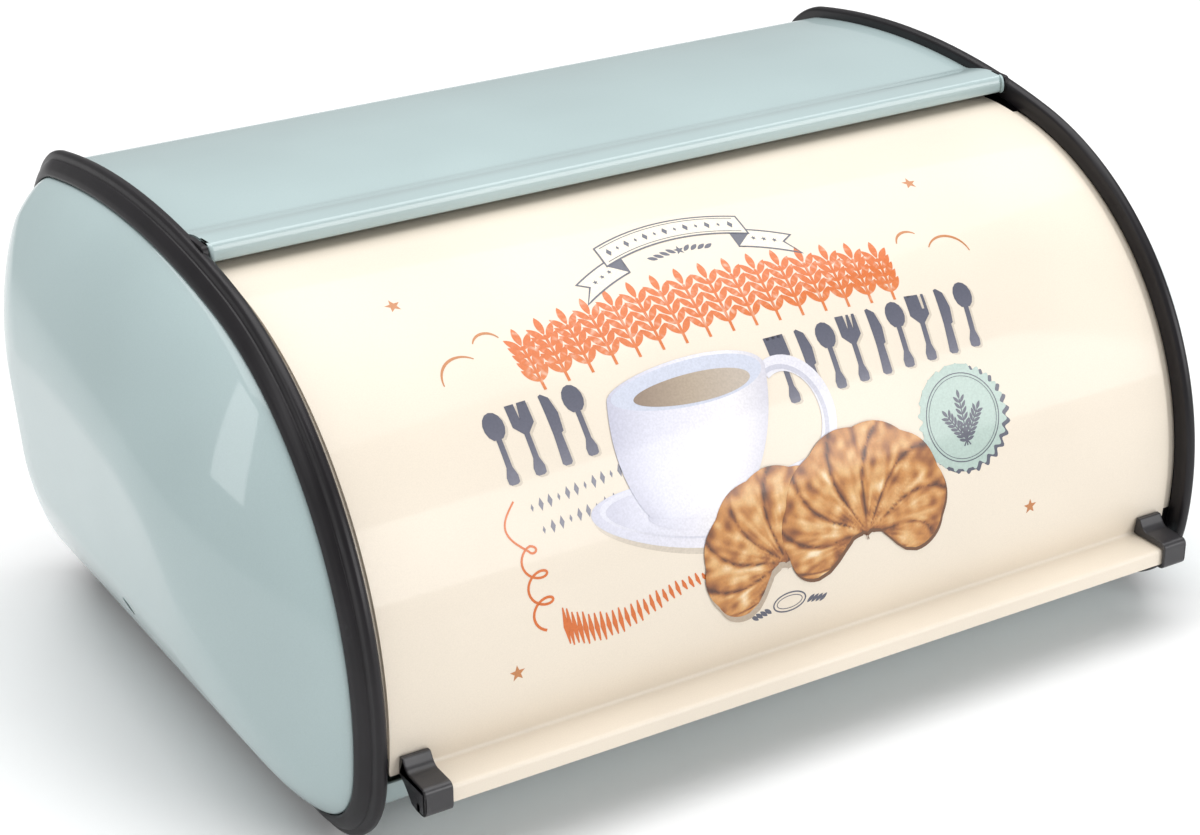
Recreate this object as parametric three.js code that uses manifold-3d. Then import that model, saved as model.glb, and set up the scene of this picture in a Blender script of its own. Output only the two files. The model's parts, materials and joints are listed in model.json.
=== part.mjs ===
// A roll-top bread box: a painted sheet body between two domed end caps, with black plastic
// trim frames, and a curved door that turns about two pivots and slides back under the top.
// Millimetres. +X runs along the box, -Y is the front, +Z is up.
// Side outlines are drawn in the plane of the end, with the door's pivot at (0, 0):
// the first coordinate runs to the back and the second one up.
import * as THREE from "three";
import { mergeVertices } from "three/addons/utils/BufferGeometryUtils.js";
import Module from "manifold-3d";

const wasm = await Module();
wasm.setup();

// Driving dimensions.
const CREST_SPAN = 285; // between the crests of the two trim frames
const FRONT_R = 104.5; // the trim's crest around the front, centred on the pivot
const PIVOT_HEIGHT = 43.6; // pivot above the table
const TRIM_LIFT = 0.6; // the trim's lowest point above the table
const LOWER_FRONT_R = 32.8;
const BACK_REACH = 122.5; // pivot to the back of the trim
const FRONT_REACH = 112.3; // pivot to the front of the lift clips
const TOP_R = 288; // the slightly crowned top
const TOP_ANGLE = 103; // degrees; where the front's round passes into the top
const TOP_BACK_R = 31.4;
const LOWER_BACK_R = 36;
const SHEET = 0.8; // sheet thickness
const GAP = 0.3; // clearance where pieces rest on each other
const TOP_INSET = 3.8; // top and back sheet, below the crest
const FLOOR_INSET = 6.4; // bottom sheet, inside the crest
const DOOR_R = 98.5; // outside of the curved door
const DOOR_END = 5; // the door's ends, inside the crest planes
const DOOR_TOP_ANGLE = 86; // degrees, hidden under the top
const FLANGE_HEIGHT = -15.2; // top of the door's flange, from the pivot
const FLANGE_FRONT = -110.7; // outer face of the door's lip
const LIP_DROP = 5;
const SHEET_END = 0.9; // the sheets' ends, inside the crest planes
const CAP_RIM_INSET = 7.8;
const CAP_RIM_X = -4.8; // where the cap leaves the trim, from the crest plane
const CAP_DEPTH = 27.4; // how far the cap bulges past its rim
const CAP_FLANK = 44; // width of the curved flank
const CAP_POWER = 1.3; // roundness of the flank
const WEB = [-1.2, 0.4]; // the trim's inner wall, from the crest plane

const CREST_X = CREST_SPAN / 2;
const PIVOT_Y = (FRONT_REACH - BACK_REACH) / 2;
const BASE = TRIM_LIFT - PIVOT_HEIGHT; // the trim's lowest line, from the pivot
const TABLE = -PIVOT_HEIGHT;
const SIDES = { left: -1, right: 1 };

const COLOURS = {
  blue: [0xb9cbcb, 0.28, 0.35],
  cream: [0xefe6d2, 0.3, 0.35],
  black: [0x2a292b, 0.45, 0.0],
  rubber: [0x1d1d1e, 0.8, 0.0],
  nylon: [0xe8e6df, 0.5, 0.0],
  steel: [0xb8babb, 0.3, 0.9],
};

const box = new THREE.Group();
box.position.set(0, PIVOT_Y, PIVOT_HEIGHT);

// Adds one named piece. A right-hand piece is the left one's geometry, mirrored.
function addPiece(name, geometry, colour) {
  const [color, roughness, metalness] = COLOURS[colour];
  const material = new THREE.MeshStandardMaterial({ color, roughness, metalness });
  const mesh = new THREE.Mesh(geometry, material);
  mesh.name = name;
  box.add(mesh);
}

function radians(degrees) {
  return (degrees * Math.PI) / 180;
}

function polar(centre, r, angle) {
  return [centre[0] + r * Math.cos(angle), centre[1] + r * Math.sin(angle)];
}

function arcPoints(centre, r, from, to, steps) {
  const points = [];
  for (let i = 0; i <= steps; i++) points.push(polar(centre, r, from + ((to - from) * i) / steps));
  return points;
}

// The side outline of the crest: arcs round the front, over the crowned top and round three
// corners, joined by a straight back and a straight foot.
const TOP_START = radians(TOP_ANGLE);
const TOP_CENTRE = polar([0, 0], FRONT_R - TOP_R, TOP_START);
const LEAST_CORNER = 14;

function lowerFront(inset, r) {
  const height = BASE + inset + r;
  return [-Math.sqrt((FRONT_R - inset - r) ** 2 - height ** 2), height];
}

function topBack(inset, r) {
  const y = BACK_REACH - inset - r;
  return [y, topHeight(y, inset + r)];
}

// Height of the crowned top line above the pivot, at y.
function topHeight(y, inset) {
  return TOP_CENTRE[1] + Math.sqrt((TOP_R - inset) ** 2 - (y - TOP_CENTRE[0]) ** 2);
}

// Direction from the middle of the crown's round to a point.
function topAngle([y, z]) {
  return Math.atan2(z - TOP_CENTRE[1], y - TOP_CENTRE[0]);
}

// Points of the outline at a distance inside the crest, anticlockwise. Corners stay a little round.
function outline(inset) {
  const radius = (r) => Math.max(r - inset, LEAST_CORNER);
  const frontR = radius(LOWER_FRONT_R);
  const frontCentre = lowerFront(inset, frontR);
  const topR = radius(TOP_BACK_R);
  const topCorner = topBack(inset, topR);
  const topEnd = topAngle(topCorner);
  const backR = radius(LOWER_BACK_R);
  const backCentre = [BACK_REACH - inset - backR, BASE + inset + backR];
  const frontEnd = Math.atan2(frontCentre[1], frontCentre[0]);
  const end = frontEnd < 0 ? frontEnd + 2 * Math.PI : frontEnd;
  return [
    ...arcPoints(backCentre, backR, -Math.PI / 2, 0, 6),
    ...arcPoints(topCorner, topR, 0, topEnd, 8),
    ...arcPoints(TOP_CENTRE, TOP_R - inset, topEnd, TOP_START, 5).slice(1),
    ...arcPoints([0, 0], FRONT_R - inset, TOP_START, end, 16).slice(1),
    ...arcPoints(frontCentre, frontR, end, 1.5 * Math.PI, 6).slice(1),
  ];
}

function shapeOf(points) {
  return new THREE.Shape(points.map(([a, b]) => new THREE.Vector2(a, b)));
}

// A prism along X over a side outline.
const SIDE_VIEW = new THREE.Matrix4().makeBasis(
  new THREE.Vector3(0, 1, 0),
  new THREE.Vector3(0, 0, 1),
  new THREE.Vector3(1, 0, 0),
);

function prism(points, x0, x1) {
  const geometry = new THREE.ExtrudeGeometry(shapeOf(points), { depth: x1 - x0, bevelEnabled: false });
  return geometry.applyMatrix4(SIDE_VIEW).translate(x0, 0, 0);
}

// A solid of revolution about the pivot line; its profile holds [x, radius] points.
function turned(profile, sides = 20) {
  const points = profile.map(([x, r]) => new THREE.Vector2(r, x));
  const geometry = new THREE.LatheGeometry(points, sides);
  return geometry.applyMatrix4(new THREE.Matrix4().makeRotationZ(-Math.PI / 2));
}

// Closed surface through rings of equal length; the rings wrap round, or end in two points.
function skin(rings, ends) {
  const count = rings[0].length;
  const positions = rings.flat().flat();
  const index = [];
  const bands = ends ? rings.length - 1 : rings.length;
  for (let band = 0; band < bands; band++) {
    const a = band * count;
    const b = ((band + 1) % rings.length) * count;
    for (let i = 0; i < count; i++) {
      const j = (i + 1) % count;
      index.push(a + i, a + j, b + j, a + i, b + j, b + i);
    }
  }
  if (ends) {
    positions.push(...ends[0], ...ends[1]);
    const first = rings.length * count;
    const last = (rings.length - 1) * count;
    for (let i = 0; i < count; i++) {
      const j = (i + 1) % count;
      index.push(first, j, i, first + 1, last + i, last + j);
    }
  }
  const geometry = new THREE.BufferGeometry();
  geometry.setAttribute("position", new THREE.Float32BufferAttribute(positions, 3));
  geometry.setIndex(index);
  return geometry;
}

// Keeps only a geometry's positions.
function bare(geometry) {
  const names = Object.keys(geometry.attributes).filter((name) => name !== "position");
  names.forEach((name) => geometry.deleteAttribute(name));
  return geometry;
}

function solid(geometry) {
  const merged = mergeVertices(bare(geometry.clone()), 1e-4);
  const mesh = new wasm.Mesh({
    numProp: 3,
    vertProperties: merged.attributes.position.array,
    triVerts: new Uint32Array(merged.index.array),
  });
  return new wasm.Manifold(mesh);
}

function geometryOf(made) {
  const mesh = made.getMesh();
  const geometry = new THREE.BufferGeometry();
  geometry.setAttribute("position", new THREE.BufferAttribute(mesh.vertProperties, 3));
  geometry.setIndex(new THREE.BufferAttribute(mesh.triVerts, 1));
  return geometry;
}

function join(...geometries) {
  return geometries.map(solid).reduce((all, next) => all.add(next));
}

function cut(body, ...tools) {
  return geometryOf(tools.map(solid).reduce((rest, tool) => rest.subtract(tool), body));
}

// Moves a piece drawn about the left crest plane to its end of the box.
function placed(geometry, side) {
  if (side < 0) return geometry.clone().translate(-CREST_X, 0, 0);
  const mirrored = (geometry.index ? geometry.toNonIndexed() : geometry.clone()).scale(-1, 1, 1);
  const array = mirrored.attributes.position.array;
  for (let i = 0; i < array.length; i += 9)
    for (let k = 0; k < 3; k++) [array[i + 3 + k], array[i + 6 + k]] = [array[i + 6 + k], array[i + 3 + k]];
  return bare(mirrored).translate(CREST_X, 0, 0);
}

// A band of sheet between two parallel paths of side-view points.
function strip(outer, inner) {
  return [...outer, ...[...inner].reverse()];
}

// Top and back sheet.
const LIP_FRONT = -6.3;
const LIP_BOTTOM = 101.2;
const LIP_TOP = 106.8;
const LIP_RISE_BACK = 14; // where the lip's rear slope meets the top panel
const LIP_LAP = 4; // of the lip's piece over the panel's
const LIP_NOSE_R = 2.6;
const LIP_FLAT_BACK = 6.5;
const LIP_END = 2.4; // the lip's ends, inside the crest planes
const BACK_LOWER_EDGE = -6;

const TOP_CORNER = topBack(0, TOP_BACK_R);

function topPath(inset) {
  const start = topAngle(TOP_CORNER);
  const end = topAngle([LIP_RISE_BACK, topHeight(LIP_RISE_BACK, inset)]);
  return [
    [BACK_REACH - inset, BACK_LOWER_EDGE],
    ...arcPoints(TOP_CORNER, TOP_BACK_R - inset, 0, start, 12),
    ...arcPoints(TOP_CENTRE, TOP_R - inset, start, end, 6).slice(1),
  ];
}

// The raised hollow lip: up from the panel, over a rounded nose, and a short return below.
function lipPath(offset) {
  const top = LIP_TOP - offset;
  const front = LIP_FRONT + offset;
  const bottom = LIP_BOTTOM + offset;
  const nose = [LIP_FRONT + LIP_NOSE_R, LIP_TOP - LIP_NOSE_R];
  return [
    [LIP_FLAT_BACK + offset * 0.4, top - 0.7],
    [LIP_FLAT_BACK - 2.5, top],
    ...arcPoints(nose, LIP_NOSE_R - offset, Math.PI / 2, Math.PI, 5),
    [front, bottom + 1],
    [front + 0.6, bottom],
    [LIP_FRONT + 5, bottom],
  ];
}

function topBackSheet() {
  const outer = topPath(TOP_INSET);
  const inner = topPath(TOP_INSET + SHEET);
  const panel = prism(strip(outer, inner), -CREST_X + SHEET_END, CREST_X - SHEET_END);
  const start = (inset) =>
    [LIP_RISE_BACK + LIP_LAP, LIP_RISE_BACK].map((y) => [y, topHeight(y, inset)]);
  const section = strip(
    [...start(TOP_INSET), ...lipPath(0)],
    [...start(TOP_INSET + SHEET), ...lipPath(SHEET)],
  );
  const lip = prism(section, -CREST_X + LIP_END, CREST_X - LIP_END);
  const holes = [
    ...BACK_SCREWS.map(([, x, z]) => pinHole(x, z, SCREW_HOLE_R)),
    ...SEAM_X.map((x) => pinHole(x, SEAM_Z, RIVET_HOLE_R)),
  ];
  return cut(join(panel, lip), ...holes);
}

const LOWER_FRONT = lowerFront(0, LOWER_FRONT_R);

// Bottom sheet: it curls up to a front sill under the door and laps inside the back sheet.
const SILL_ANGLE = radians(199);
const LAP_R = 30;
const LAP_TOP = 8;

function floorPath(extra) {
  const inset = FLOOR_INSET + extra;
  const lapX = BACK_REACH - TOP_INSET - SHEET - GAP - extra;
  const lapCentre = [lapX - LAP_R + extra, BASE + FLOOR_INSET + LAP_R];
  return [
    ...arcPoints(LOWER_FRONT, LOWER_FRONT_R - inset, SILL_ANGLE, 1.5 * Math.PI, 9),
    ...arcPoints(lapCentre, LAP_R - extra, -Math.PI / 2, 0, 9),
    [lapX, LAP_TOP],
  ];
}

function bottomSheet() {
  const section = strip(floorPath(0), floorPath(SHEET));
  const sheet = prism(section, -CREST_X + SHEET_END, CREST_X - SHEET_END);
  const drill = (x, y, r) => upright([[TABLE, r], [BASE + HOLE_REACH, r]], x, y);
  const holes = [
    ...FEET.map(([, x, y]) => drill(x, y, FOOT_NECK_R + GAP)),
    ...BASE_SCREWS.map(([, x, y]) => drill(x, y, SCREW_HOLE_R)),
    ...SEAM_X.map((x) => pinHole(x, SEAM_Z, RIVET_HOLE_R)),
  ];
  return cut(join(sheet), ...holes);
}

// A solid of revolution about a vertical line; its profile holds [z, radius] points.
function upright(profile, x, y, sides = 12) {
  const closed = closeProfile(profile).map(([z, r]) => new THREE.Vector2(r, z));
  const geometry = new THREE.LatheGeometry(closed, sides);
  return geometry.applyMatrix4(new THREE.Matrix4().makeRotationX(Math.PI / 2)).translate(x, y, 0);
}

function closeProfile(profile) {
  const first = profile[0];
  const last = profile[profile.length - 1];
  return [[first[0], 0], ...profile, [last[0], 0]];
}

// A pin along Y; its profile holds [y, radius] points.
function across(profile, x, z, sides = 12) {
  const closed = closeProfile(profile).map(([y, r]) => new THREE.Vector2(r, y));
  return new THREE.LatheGeometry(closed, sides).translate(x, 0, z);
}

// Fixings that hold the trims to the sheets.
const EAR_X = 7; // screw lines, inside the crest planes
const SCREW_YS = { front: -52, rear: 78 };
const SCREW_ZS = { lower: 12, upper: 50 };
const HEAD_R = 3.1;
const HEAD_H = 1.7;
const SHANK_R = 1.4;
const BASE_SHANK = 5.4; // lengths of the shanks
const BACK_SHANK = 6.4;
const SCREW_HOLE_R = 1.9; // through the sheets
const PILOT_R = 1.6; // in the trim's ears
const HOLE_REACH = 14; // how deep a cutter goes in from the trim's back or foot
const BASE_SCREWS = [];
const BACK_SCREWS = [];
for (const [side, sign] of Object.entries(SIDES)) {
  const x = sign * (CREST_X - EAR_X);
  for (const [row, y] of Object.entries(SCREW_YS)) BASE_SCREWS.push([`${side}_base_screw_${row}`, x, y]);
  for (const [row, z] of Object.entries(SCREW_ZS)) BACK_SCREWS.push([`${side}_back_screw_${row}`, x, z]);
}
const FEET = [];
for (const [side, sign] of Object.entries(SIDES))
  for (const [row, y] of Object.entries({ front: -38, rear: 64 }))
    FEET.push([`${side}_foot_${row}`, sign * (CREST_X - 30), y]);
const SEAM_X = [-90, 0, 90];
const SEAM_Z = 1;
const RIVET_R = 1.5;
const RIVET_HOLE_R = RIVET_R + GAP;
const FOOT_NECK_R = 2.6;

// Cutter for a hole through the back wall.
function pinHole(x, z, r) {
  return across([[BACK_REACH - HOLE_REACH, r], [BACK_REACH, r]], x, z);
}

function baseScrew(x, y) {
  const under = BASE + FLOOR_INSET - GAP;
  const profile = [
    [under - HEAD_H, HEAD_R * 0.55],
    [under - HEAD_H * 0.6, HEAD_R * 0.9],
    [under, HEAD_R],
    [under, SHANK_R],
    [under + BASE_SHANK, SHANK_R],
  ];
  return upright(profile, x, y);
}

function backScrew(x, z) {
  const out = BACK_REACH - TOP_INSET + GAP;
  const profile = [
    [out - BACK_SHANK, SHANK_R],
    [out, SHANK_R],
    [out, HEAD_R],
    [out + HEAD_H * 0.6, HEAD_R * 0.9],
    [out + HEAD_H, HEAD_R * 0.55],
  ];
  return across(profile, x, z);
}

function seamRivet(x) {
  const out = BACK_REACH - TOP_INSET + GAP;
  const inside = BACK_REACH - TOP_INSET - 2 * SHEET - 2 * GAP;
  const profile = [
    [inside - 1, 1.6],
    [inside - 0.7, 2.7],
    [inside, 2.9],
    [inside, RIVET_R],
    [out, RIVET_R],
    [out, 3],
    [out + 0.8, 2.5],
    [out + 1.2, 1.4],
  ];
  return across(profile, x, SEAM_Z);
}

function foot(x, y) {
  const under = BASE + FLOOR_INSET - GAP;
  const over = under + SHEET + 2 * GAP;
  const profile = [
    [TABLE, 6.4],
    [TABLE + 0.8, 7.2],
    [under, 6.4],
    [under, FOOT_NECK_R],
    [over, FOOT_NECK_R],
    [over, 3.5],
    [over + 2.2, 1.6],
  ];
  return upright(profile, x, y, 16);
}

// Trim frame: a ring whose crest steps down to a band that slopes to the cap's rim, an inner
// wall and a pivot boss. The section holds [x, inset] points.
const RING_SECTION = [
  [-5.0, 7.5],
  [-5.15, 6.8],
  [-4.5, 5.2],
  [-3.3, 3.5],
  [-2.4, 2.7],
  [-1.95, 2.7],
  [-1.75, 2.2],
  [-1.35, 0.8],
  [-0.45, 0],
  [1.1, 0.2],
  [2.0, 1.1],
  [2.0, 6.6],
  [-0.9, 6.6],
  [-0.9, 7.5],
];
const BOSS_END = -21.2;
const BOSS_R = 6.5;
const BORE_R = 2.4;
const EAR = [12.5, 13, 3.2]; // along the box, along the sheet, thick
const EAR_BACK = 0.5; // how far an ear starts inside the wall
const SLOT_X = [0.6, 20]; // slots for the sheets' ends

function ring() {
  const rings = RING_SECTION.map(([x, inset]) => outline(inset).map(([y, z]) => [x, y, z]));
  return skin(rings);
}

function ears() {
  const floor = BASE + FLOOR_INSET + SHEET + GAP;
  const wall = BACK_REACH - TOP_INSET - SHEET - GAP;
  const [length, width, depth] = EAR;
  const x = length / 2 - EAR_BACK;
  const blocks = [];
  for (const y of Object.values(SCREW_YS))
    blocks.push(new THREE.BoxGeometry(length, width, depth).translate(x, y, floor + depth / 2));
  for (const z of Object.values(SCREW_ZS))
    blocks.push(new THREE.BoxGeometry(length, depth, width).translate(x, wall - depth / 2, z));
  return blocks;
}

// A pad on the ring that closes the end of the top's hollow lip.
function lipStop() {
  return prism(lipPath(GAP), WEB[1], LIP_END - GAP);
}

function trim() {
  const wall = prism(outline(RING_SECTION[0][1] - 1), ...WEB);
  const foot = WEB[0] + 0.5;
  const boss = turned([[BOSS_END, 0], [BOSS_END, BOSS_R], [foot, BOSS_R + 1], [foot, 0]]);
  const body = join(ring(), wall, boss, lipStop(), ...ears());
  const topSlot = prism(strip(topPath(TOP_INSET - GAP), topPath(TOP_INSET + SHEET + GAP)), ...SLOT_X);
  const [sill, ...rest] = floorPath(-GAP);
  const floorOuter = [[sill[0] - GAP, sill[1] + GAP], ...rest];
  const floorSlot = prism(strip(floorOuter, floorPath(SHEET + GAP)), ...SLOT_X);
  const bore = turned([[BOSS_END - 2, 0], [BOSS_END - 2, BORE_R], [4, BORE_R], [4, 0]]);
  const ground = [[BASE + 4, PILOT_R], [BASE + HOLE_REACH, PILOT_R]];
  const pilots = [
    ...Object.values(SCREW_YS).map((y) => upright(ground, EAR_X, y)),
    ...Object.values(SCREW_ZS).map((z) => pinHole(EAR_X, z, PILOT_R)),
  ];
  return cut(body, topSlot, floorSlot, bore, ...pilots);
}

// End cap: a drawn dome whose flank rises from a rim that sits in the trim's outer groove.
const CAP_HOLE_R = 2.9;
const CAP_HOLE_X = [-45, -15];
const CAP_CENTRE = [8, 32]; // middle of the face
const CAP_SKIRT = 3; // the rim's straight part, behind the trim's band
const CAP_LEAN = [-0.0007, 0.0027]; // the dome grows deeper towards the front and the top
const FLANK_STEPS = [0, 0.02, 0.06, 0.12, 0.21, 0.33, 0.48, 0.7, 1];

// How far the dome stands out of its rim at a share of the flank's width.
function capDepth(share, y, z) {
  const lean = 1 + CAP_LEAN[0] * (y - CAP_CENTRE[0]) + CAP_LEAN[1] * (z - CAP_CENTRE[1]);
  return CAP_DEPTH * lean * (1 - (1 - share) ** CAP_POWER) ** (1 / CAP_POWER);
}

function capRings(thickness) {
  const rim = CAP_RIM_INSET + thickness;
  const rings = [outline(rim).map(([y, z]) => [CAP_RIM_X + CAP_SKIRT, y, z])];
  const at = (share, [y, z]) => [CAP_RIM_X - capDepth(share, y, z) + thickness, y, z];
  for (const share of FLANK_STEPS)
    rings.push(outline(rim + CAP_FLANK * share).map((point) => at(share, point)));
  const towardsCentre = ([, y, z]) => at(1, [(y + CAP_CENTRE[0]) / 2, (z + CAP_CENTRE[1]) / 2]);
  rings.push(rings[rings.length - 1].map(towardsCentre));
  return rings;
}

function endCap() {
  const outer = capRings(0).reverse();
  const inner = capRings(SHEET);
  const apex = (thickness) => [CAP_RIM_X - CAP_DEPTH + thickness, ...CAP_CENTRE];
  const shell = skin([...outer, ...inner], [apex(0), apex(SHEET)]);
  const [from, to] = CAP_HOLE_X;
  const hole = turned([[from, 0], [from, CAP_HOLE_R], [to, CAP_HOLE_R], [to, 0]]);
  return cut(join(shell), hole);
}

// Pivot: a screw through the boss, a flanged bush that carries the door, a washer and a nut.
const CHEEK_X = [1.5, 2.5];
const BUSH_R = 5;
const BUSH_FLANGE_R = 9;
const PLAY = 0.2; // beside and round the bush

const PIVOT_R = 2; // the screw's shank
const PIVOT_EYE_R = PIVOT_R + GAP;
const SCREW_END = 8;
const WASHER = [8, 0.8]; // radius and thickness

function pivotScrew() {
  const head = BOSS_END - GAP;
  return turned([
    [head - 1.9, 0],
    [head - 1.9, 1.6],
    [head - 1.4, 2.5],
    [head, 2.7],
    [head, PIVOT_R],
    [SCREW_END, PIVOT_R],
    [SCREW_END, 0],
  ]);
}

function pivotBush() {
  const from = WEB[1] + PLAY;
  const step = CHEEK_X[0] - PLAY;
  const to = CHEEK_X[1] + GAP;
  return turned([
    [from, PIVOT_EYE_R],
    [from, BUSH_FLANGE_R],
    [step, BUSH_FLANGE_R],
    [step, BUSH_R],
    [to, BUSH_R],
    [to, PIVOT_EYE_R],
    [from, PIVOT_EYE_R],
  ]);
}

function pivotWasher() {
  const [r, thickness] = WASHER;
  const x = CHEEK_X[1] + 2 * GAP;
  const end = x + thickness;
  return turned([[x, PIVOT_EYE_R], [x, r], [end, r], [end, PIVOT_EYE_R], [x, PIVOT_EYE_R]]);
}

const NUT = [4.1, 3]; // corner radius and height

function pivotNut() {
  const [r, height] = NUT;
  const hexagon = shapeOf(arcPoints([0, 0], r, 0, (5 / 3) * Math.PI, 5));
  hexagon.holes.push(new THREE.Path().absarc(0, 0, PIVOT_EYE_R, 0, 2 * Math.PI, true));
  const settings = { depth: height, bevelEnabled: false, curveSegments: 8 };
  const nut = new THREE.ExtrudeGeometry(hexagon, settings);
  return nut.applyMatrix4(SIDE_VIEW).translate(CHEEK_X[1] + 3 * GAP + WASHER[1], 0, 0);
}

// Door: a curved panel, a flange that stands out at its foot, and a lip that turns down.
const CREASE_ANGLE = Math.PI - Math.asin(FLANGE_HEIGHT / DOOR_R);
const NOTCH = [30, 20]; // the flange's end notches, deep and high
const NOTCH_END = 8.9; // where they end, inside the crest planes

function doorPanel() {
  const r = DOOR_R - SHEET;
  const underside = FLANGE_HEIGHT - SHEET;
  const innerEnd = Math.PI - Math.asin(underside / r);
  const lipInside = FLANGE_FRONT + SHEET;
  const lipFoot = FLANGE_HEIGHT - LIP_DROP;
  const points = [
    ...arcPoints([0, 0], DOOR_R, radians(DOOR_TOP_ANGLE), CREASE_ANGLE, 30),
    [FLANGE_FRONT + 1, FLANGE_HEIGHT],
    [FLANGE_FRONT + 0.3, FLANGE_HEIGHT - 0.3],
    [FLANGE_FRONT, FLANGE_HEIGHT - 1],
    [FLANGE_FRONT, lipFoot],
    [lipInside, lipFoot],
    [lipInside, underside],
    ...arcPoints([0, 0], r, innerEnd, radians(DOOR_TOP_ANGLE), 30),
  ];
  const [depth, height] = NOTCH;
  const notch = new THREE.BoxGeometry(2 * NOTCH_END, depth, height);
  notch.translate(0, FLANGE_FRONT, FLANGE_HEIGHT - height / 2);
  const notches = Object.values(SIDES).map((side) => placed(notch, side));
  return cut(join(prism(points, -CREST_X + DOOR_END, CREST_X - DOOR_END)), ...notches);
}

// Cheek: a sector plate that carries the door's end, with a rim under the door's sheet.
const CHEEK_FROM = radians(97);
const CHEEK_TO = radians(186);
const HUB_R = 12;
const HUB_FROM = radians(279);
const HUB_TO = radians(369);
const CHEEK_RIM_WIDTH = 12;

function doorCheek() {
  const r = DOOR_R - SHEET - GAP;
  const edge = arcPoints([0, 0], r, CHEEK_FROM, CHEEK_TO, 22);
  const hub = arcPoints([0, 0], HUB_R, HUB_FROM, HUB_TO, 8);
  const plate = prism([...edge, ...hub], ...CHEEK_X);
  const band = strip(edge, arcPoints([0, 0], r - SHEET, CHEEK_FROM, CHEEK_TO, 22));
  const rim = prism(band, CHEEK_X[0], CHEEK_X[0] + CHEEK_RIM_WIDTH);
  const eyeR = BUSH_R + PLAY;
  const eye = turned([[0, 0], [0, eyeR], [4, eyeR], [4, 0]]);
  return cut(join(plate, rim), eye);
}

// Lift clip: a tab against the door, a slope over the flange and a hook round the lip, with
// its outer side closed by a wall beside the flange's end.
const CLIP_X = 7.7; // its outer side, inside the crest plane
const CLIP_WIDTH = 8.8;
const CLIP_WALL = 0.9;
const CLIP_TAB_TOP = -9.3;
const CLIP_R = 2; // rounding over the front
const CLIP_HOOK = 1.6; // hook's thickness, behind the lip

function liftClip() {
  const onDoor = (r, z) => [-Math.sqrt(r ** 2 - z ** 2), z];
  const front = -FRONT_REACH;
  const top = FLANGE_HEIGHT + 2.2;
  const lipFoot = FLANGE_HEIGHT - LIP_DROP - GAP;
  const foot = lipFoot - 1.2;
  const over = FLANGE_HEIGHT + GAP;
  const inside = FLANGE_FRONT + SHEET + GAP;
  const hookTop = FLANGE_HEIGHT - 2.4;
  const outer = [
    onDoor(DOOR_R + GAP, CLIP_TAB_TOP),
    onDoor(DOOR_R + 1.7, CLIP_TAB_TOP),
    onDoor(DOOR_R + 2.1, CLIP_TAB_TOP - 0.5),
    [-102.2, top + 0.5],
    [-103.4, top],
    ...arcPoints([front + CLIP_R, top - CLIP_R], CLIP_R, Math.PI / 2, Math.PI, 4),
    ...arcPoints([front + CLIP_HOOK, foot + CLIP_HOOK], CLIP_HOOK, Math.PI, 1.5 * Math.PI, 4),
    [inside + CLIP_HOOK, foot],
  ];
  const inner = [
    [inside + CLIP_HOOK, hookTop],
    [inside, hookTop],
    [inside, lipFoot],
    [FLANGE_FRONT - GAP, lipFoot],
    [FLANGE_FRONT - GAP, over],
    onDoor(DOOR_R + GAP, over),
  ];
  const side = [[-104.5, foot + 0.6], [-101.2, FLANGE_HEIGHT - 2.2], onDoor(DOOR_R + GAP, over)];
  const hook = prism([...outer, ...inner], CLIP_X, CLIP_X + CLIP_WIDTH);
  return geometryOf(join(hook, prism([...outer, ...side], CLIP_X, CLIP_X + CLIP_WALL)));
}

// Bumper: a rubber clip on the sill's edge that the closed door rests on.
const BUMPER_X = 24;
const BUMPER_LENGTH = 10;
const BUMPER_MARGIN = 2; // the slot's cutter, past the bumper's ends
const SLOT_FROM = SILL_ANGLE - radians(1);
const SLOT_TO = SILL_ANGLE + radians(34);

function doorBumper() {
  const top = FLANGE_HEIGHT - SHEET - GAP;
  const body = [
    [-98.4, top - 4.6],
    [-94, top - 4.6],
    [-93.6, top - 1.2],
    [-94.6, top],
    [-97.6, top],
    [-98.6, top - 1.2],
  ];
  const r = LOWER_FRONT_R - FLOOR_INSET;
  const slotArc = (offset) => arcPoints(LOWER_FRONT, r + offset, SLOT_FROM, SLOT_TO, 6);
  const slot = prism(
    strip(slotArc(GAP), slotArc(-SHEET - GAP)),
    BUMPER_X - BUMPER_MARGIN,
    BUMPER_X + BUMPER_LENGTH + BUMPER_MARGIN,
  );
  return cut(join(prism(body, BUMPER_X, BUMPER_X + BUMPER_LENGTH)), slot);
}

addPiece("top_back_sheet", topBackSheet(), "blue");
addPiece("bottom_sheet", bottomSheet(), "blue");
addPiece("door_panel", doorPanel(), "cream");

const PAIRS = [
  ["trim_frame", trim(), "black"],
  ["end_cap", endCap(), "blue"],
  ["door_cheek", doorCheek(), "cream"],
  ["lift_clip", liftClip(), "black"],
  ["door_bumper", doorBumper(), "rubber"],
  ["pivot_screw", pivotScrew(), "steel"],
  ["pivot_bush", pivotBush(), "nylon"],
  ["pivot_washer", pivotWasher(), "steel"],
  ["pivot_nut", pivotNut(), "steel"],
];
for (const [side, sign] of Object.entries(SIDES))
  for (const [name, geometry, colour] of PAIRS) addPiece(`${side}_${name}`, placed(geometry, sign), colour);

for (const [name, x, y] of BASE_SCREWS) addPiece(name, baseScrew(x, y), "steel");
for (const [name, x, z] of BACK_SCREWS) addPiece(name, backScrew(x, z), "steel");
for (const [name, x, y] of FEET) addPiece(name, foot(x, y), "rubber");
SEAM_X.forEach((x, i) => addPiece(`seam_rivet_${i + 1}`, seamRivet(x), "steel"));

export default box;
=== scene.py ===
"""A roll-top bread box: detailed meshes, finishes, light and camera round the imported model.

Shapes are drawn in millimetres from the door's pivot: x along the box, u to the back, w up.
Pieces of an end are drawn from its crest plane, with x growing into the box, and placed twice.
"""
import json
from math import asin, atan2, cos, pi, radians, sin, sqrt

import bmesh
import bpy
from mathutils import Matrix, Vector, noise


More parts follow.
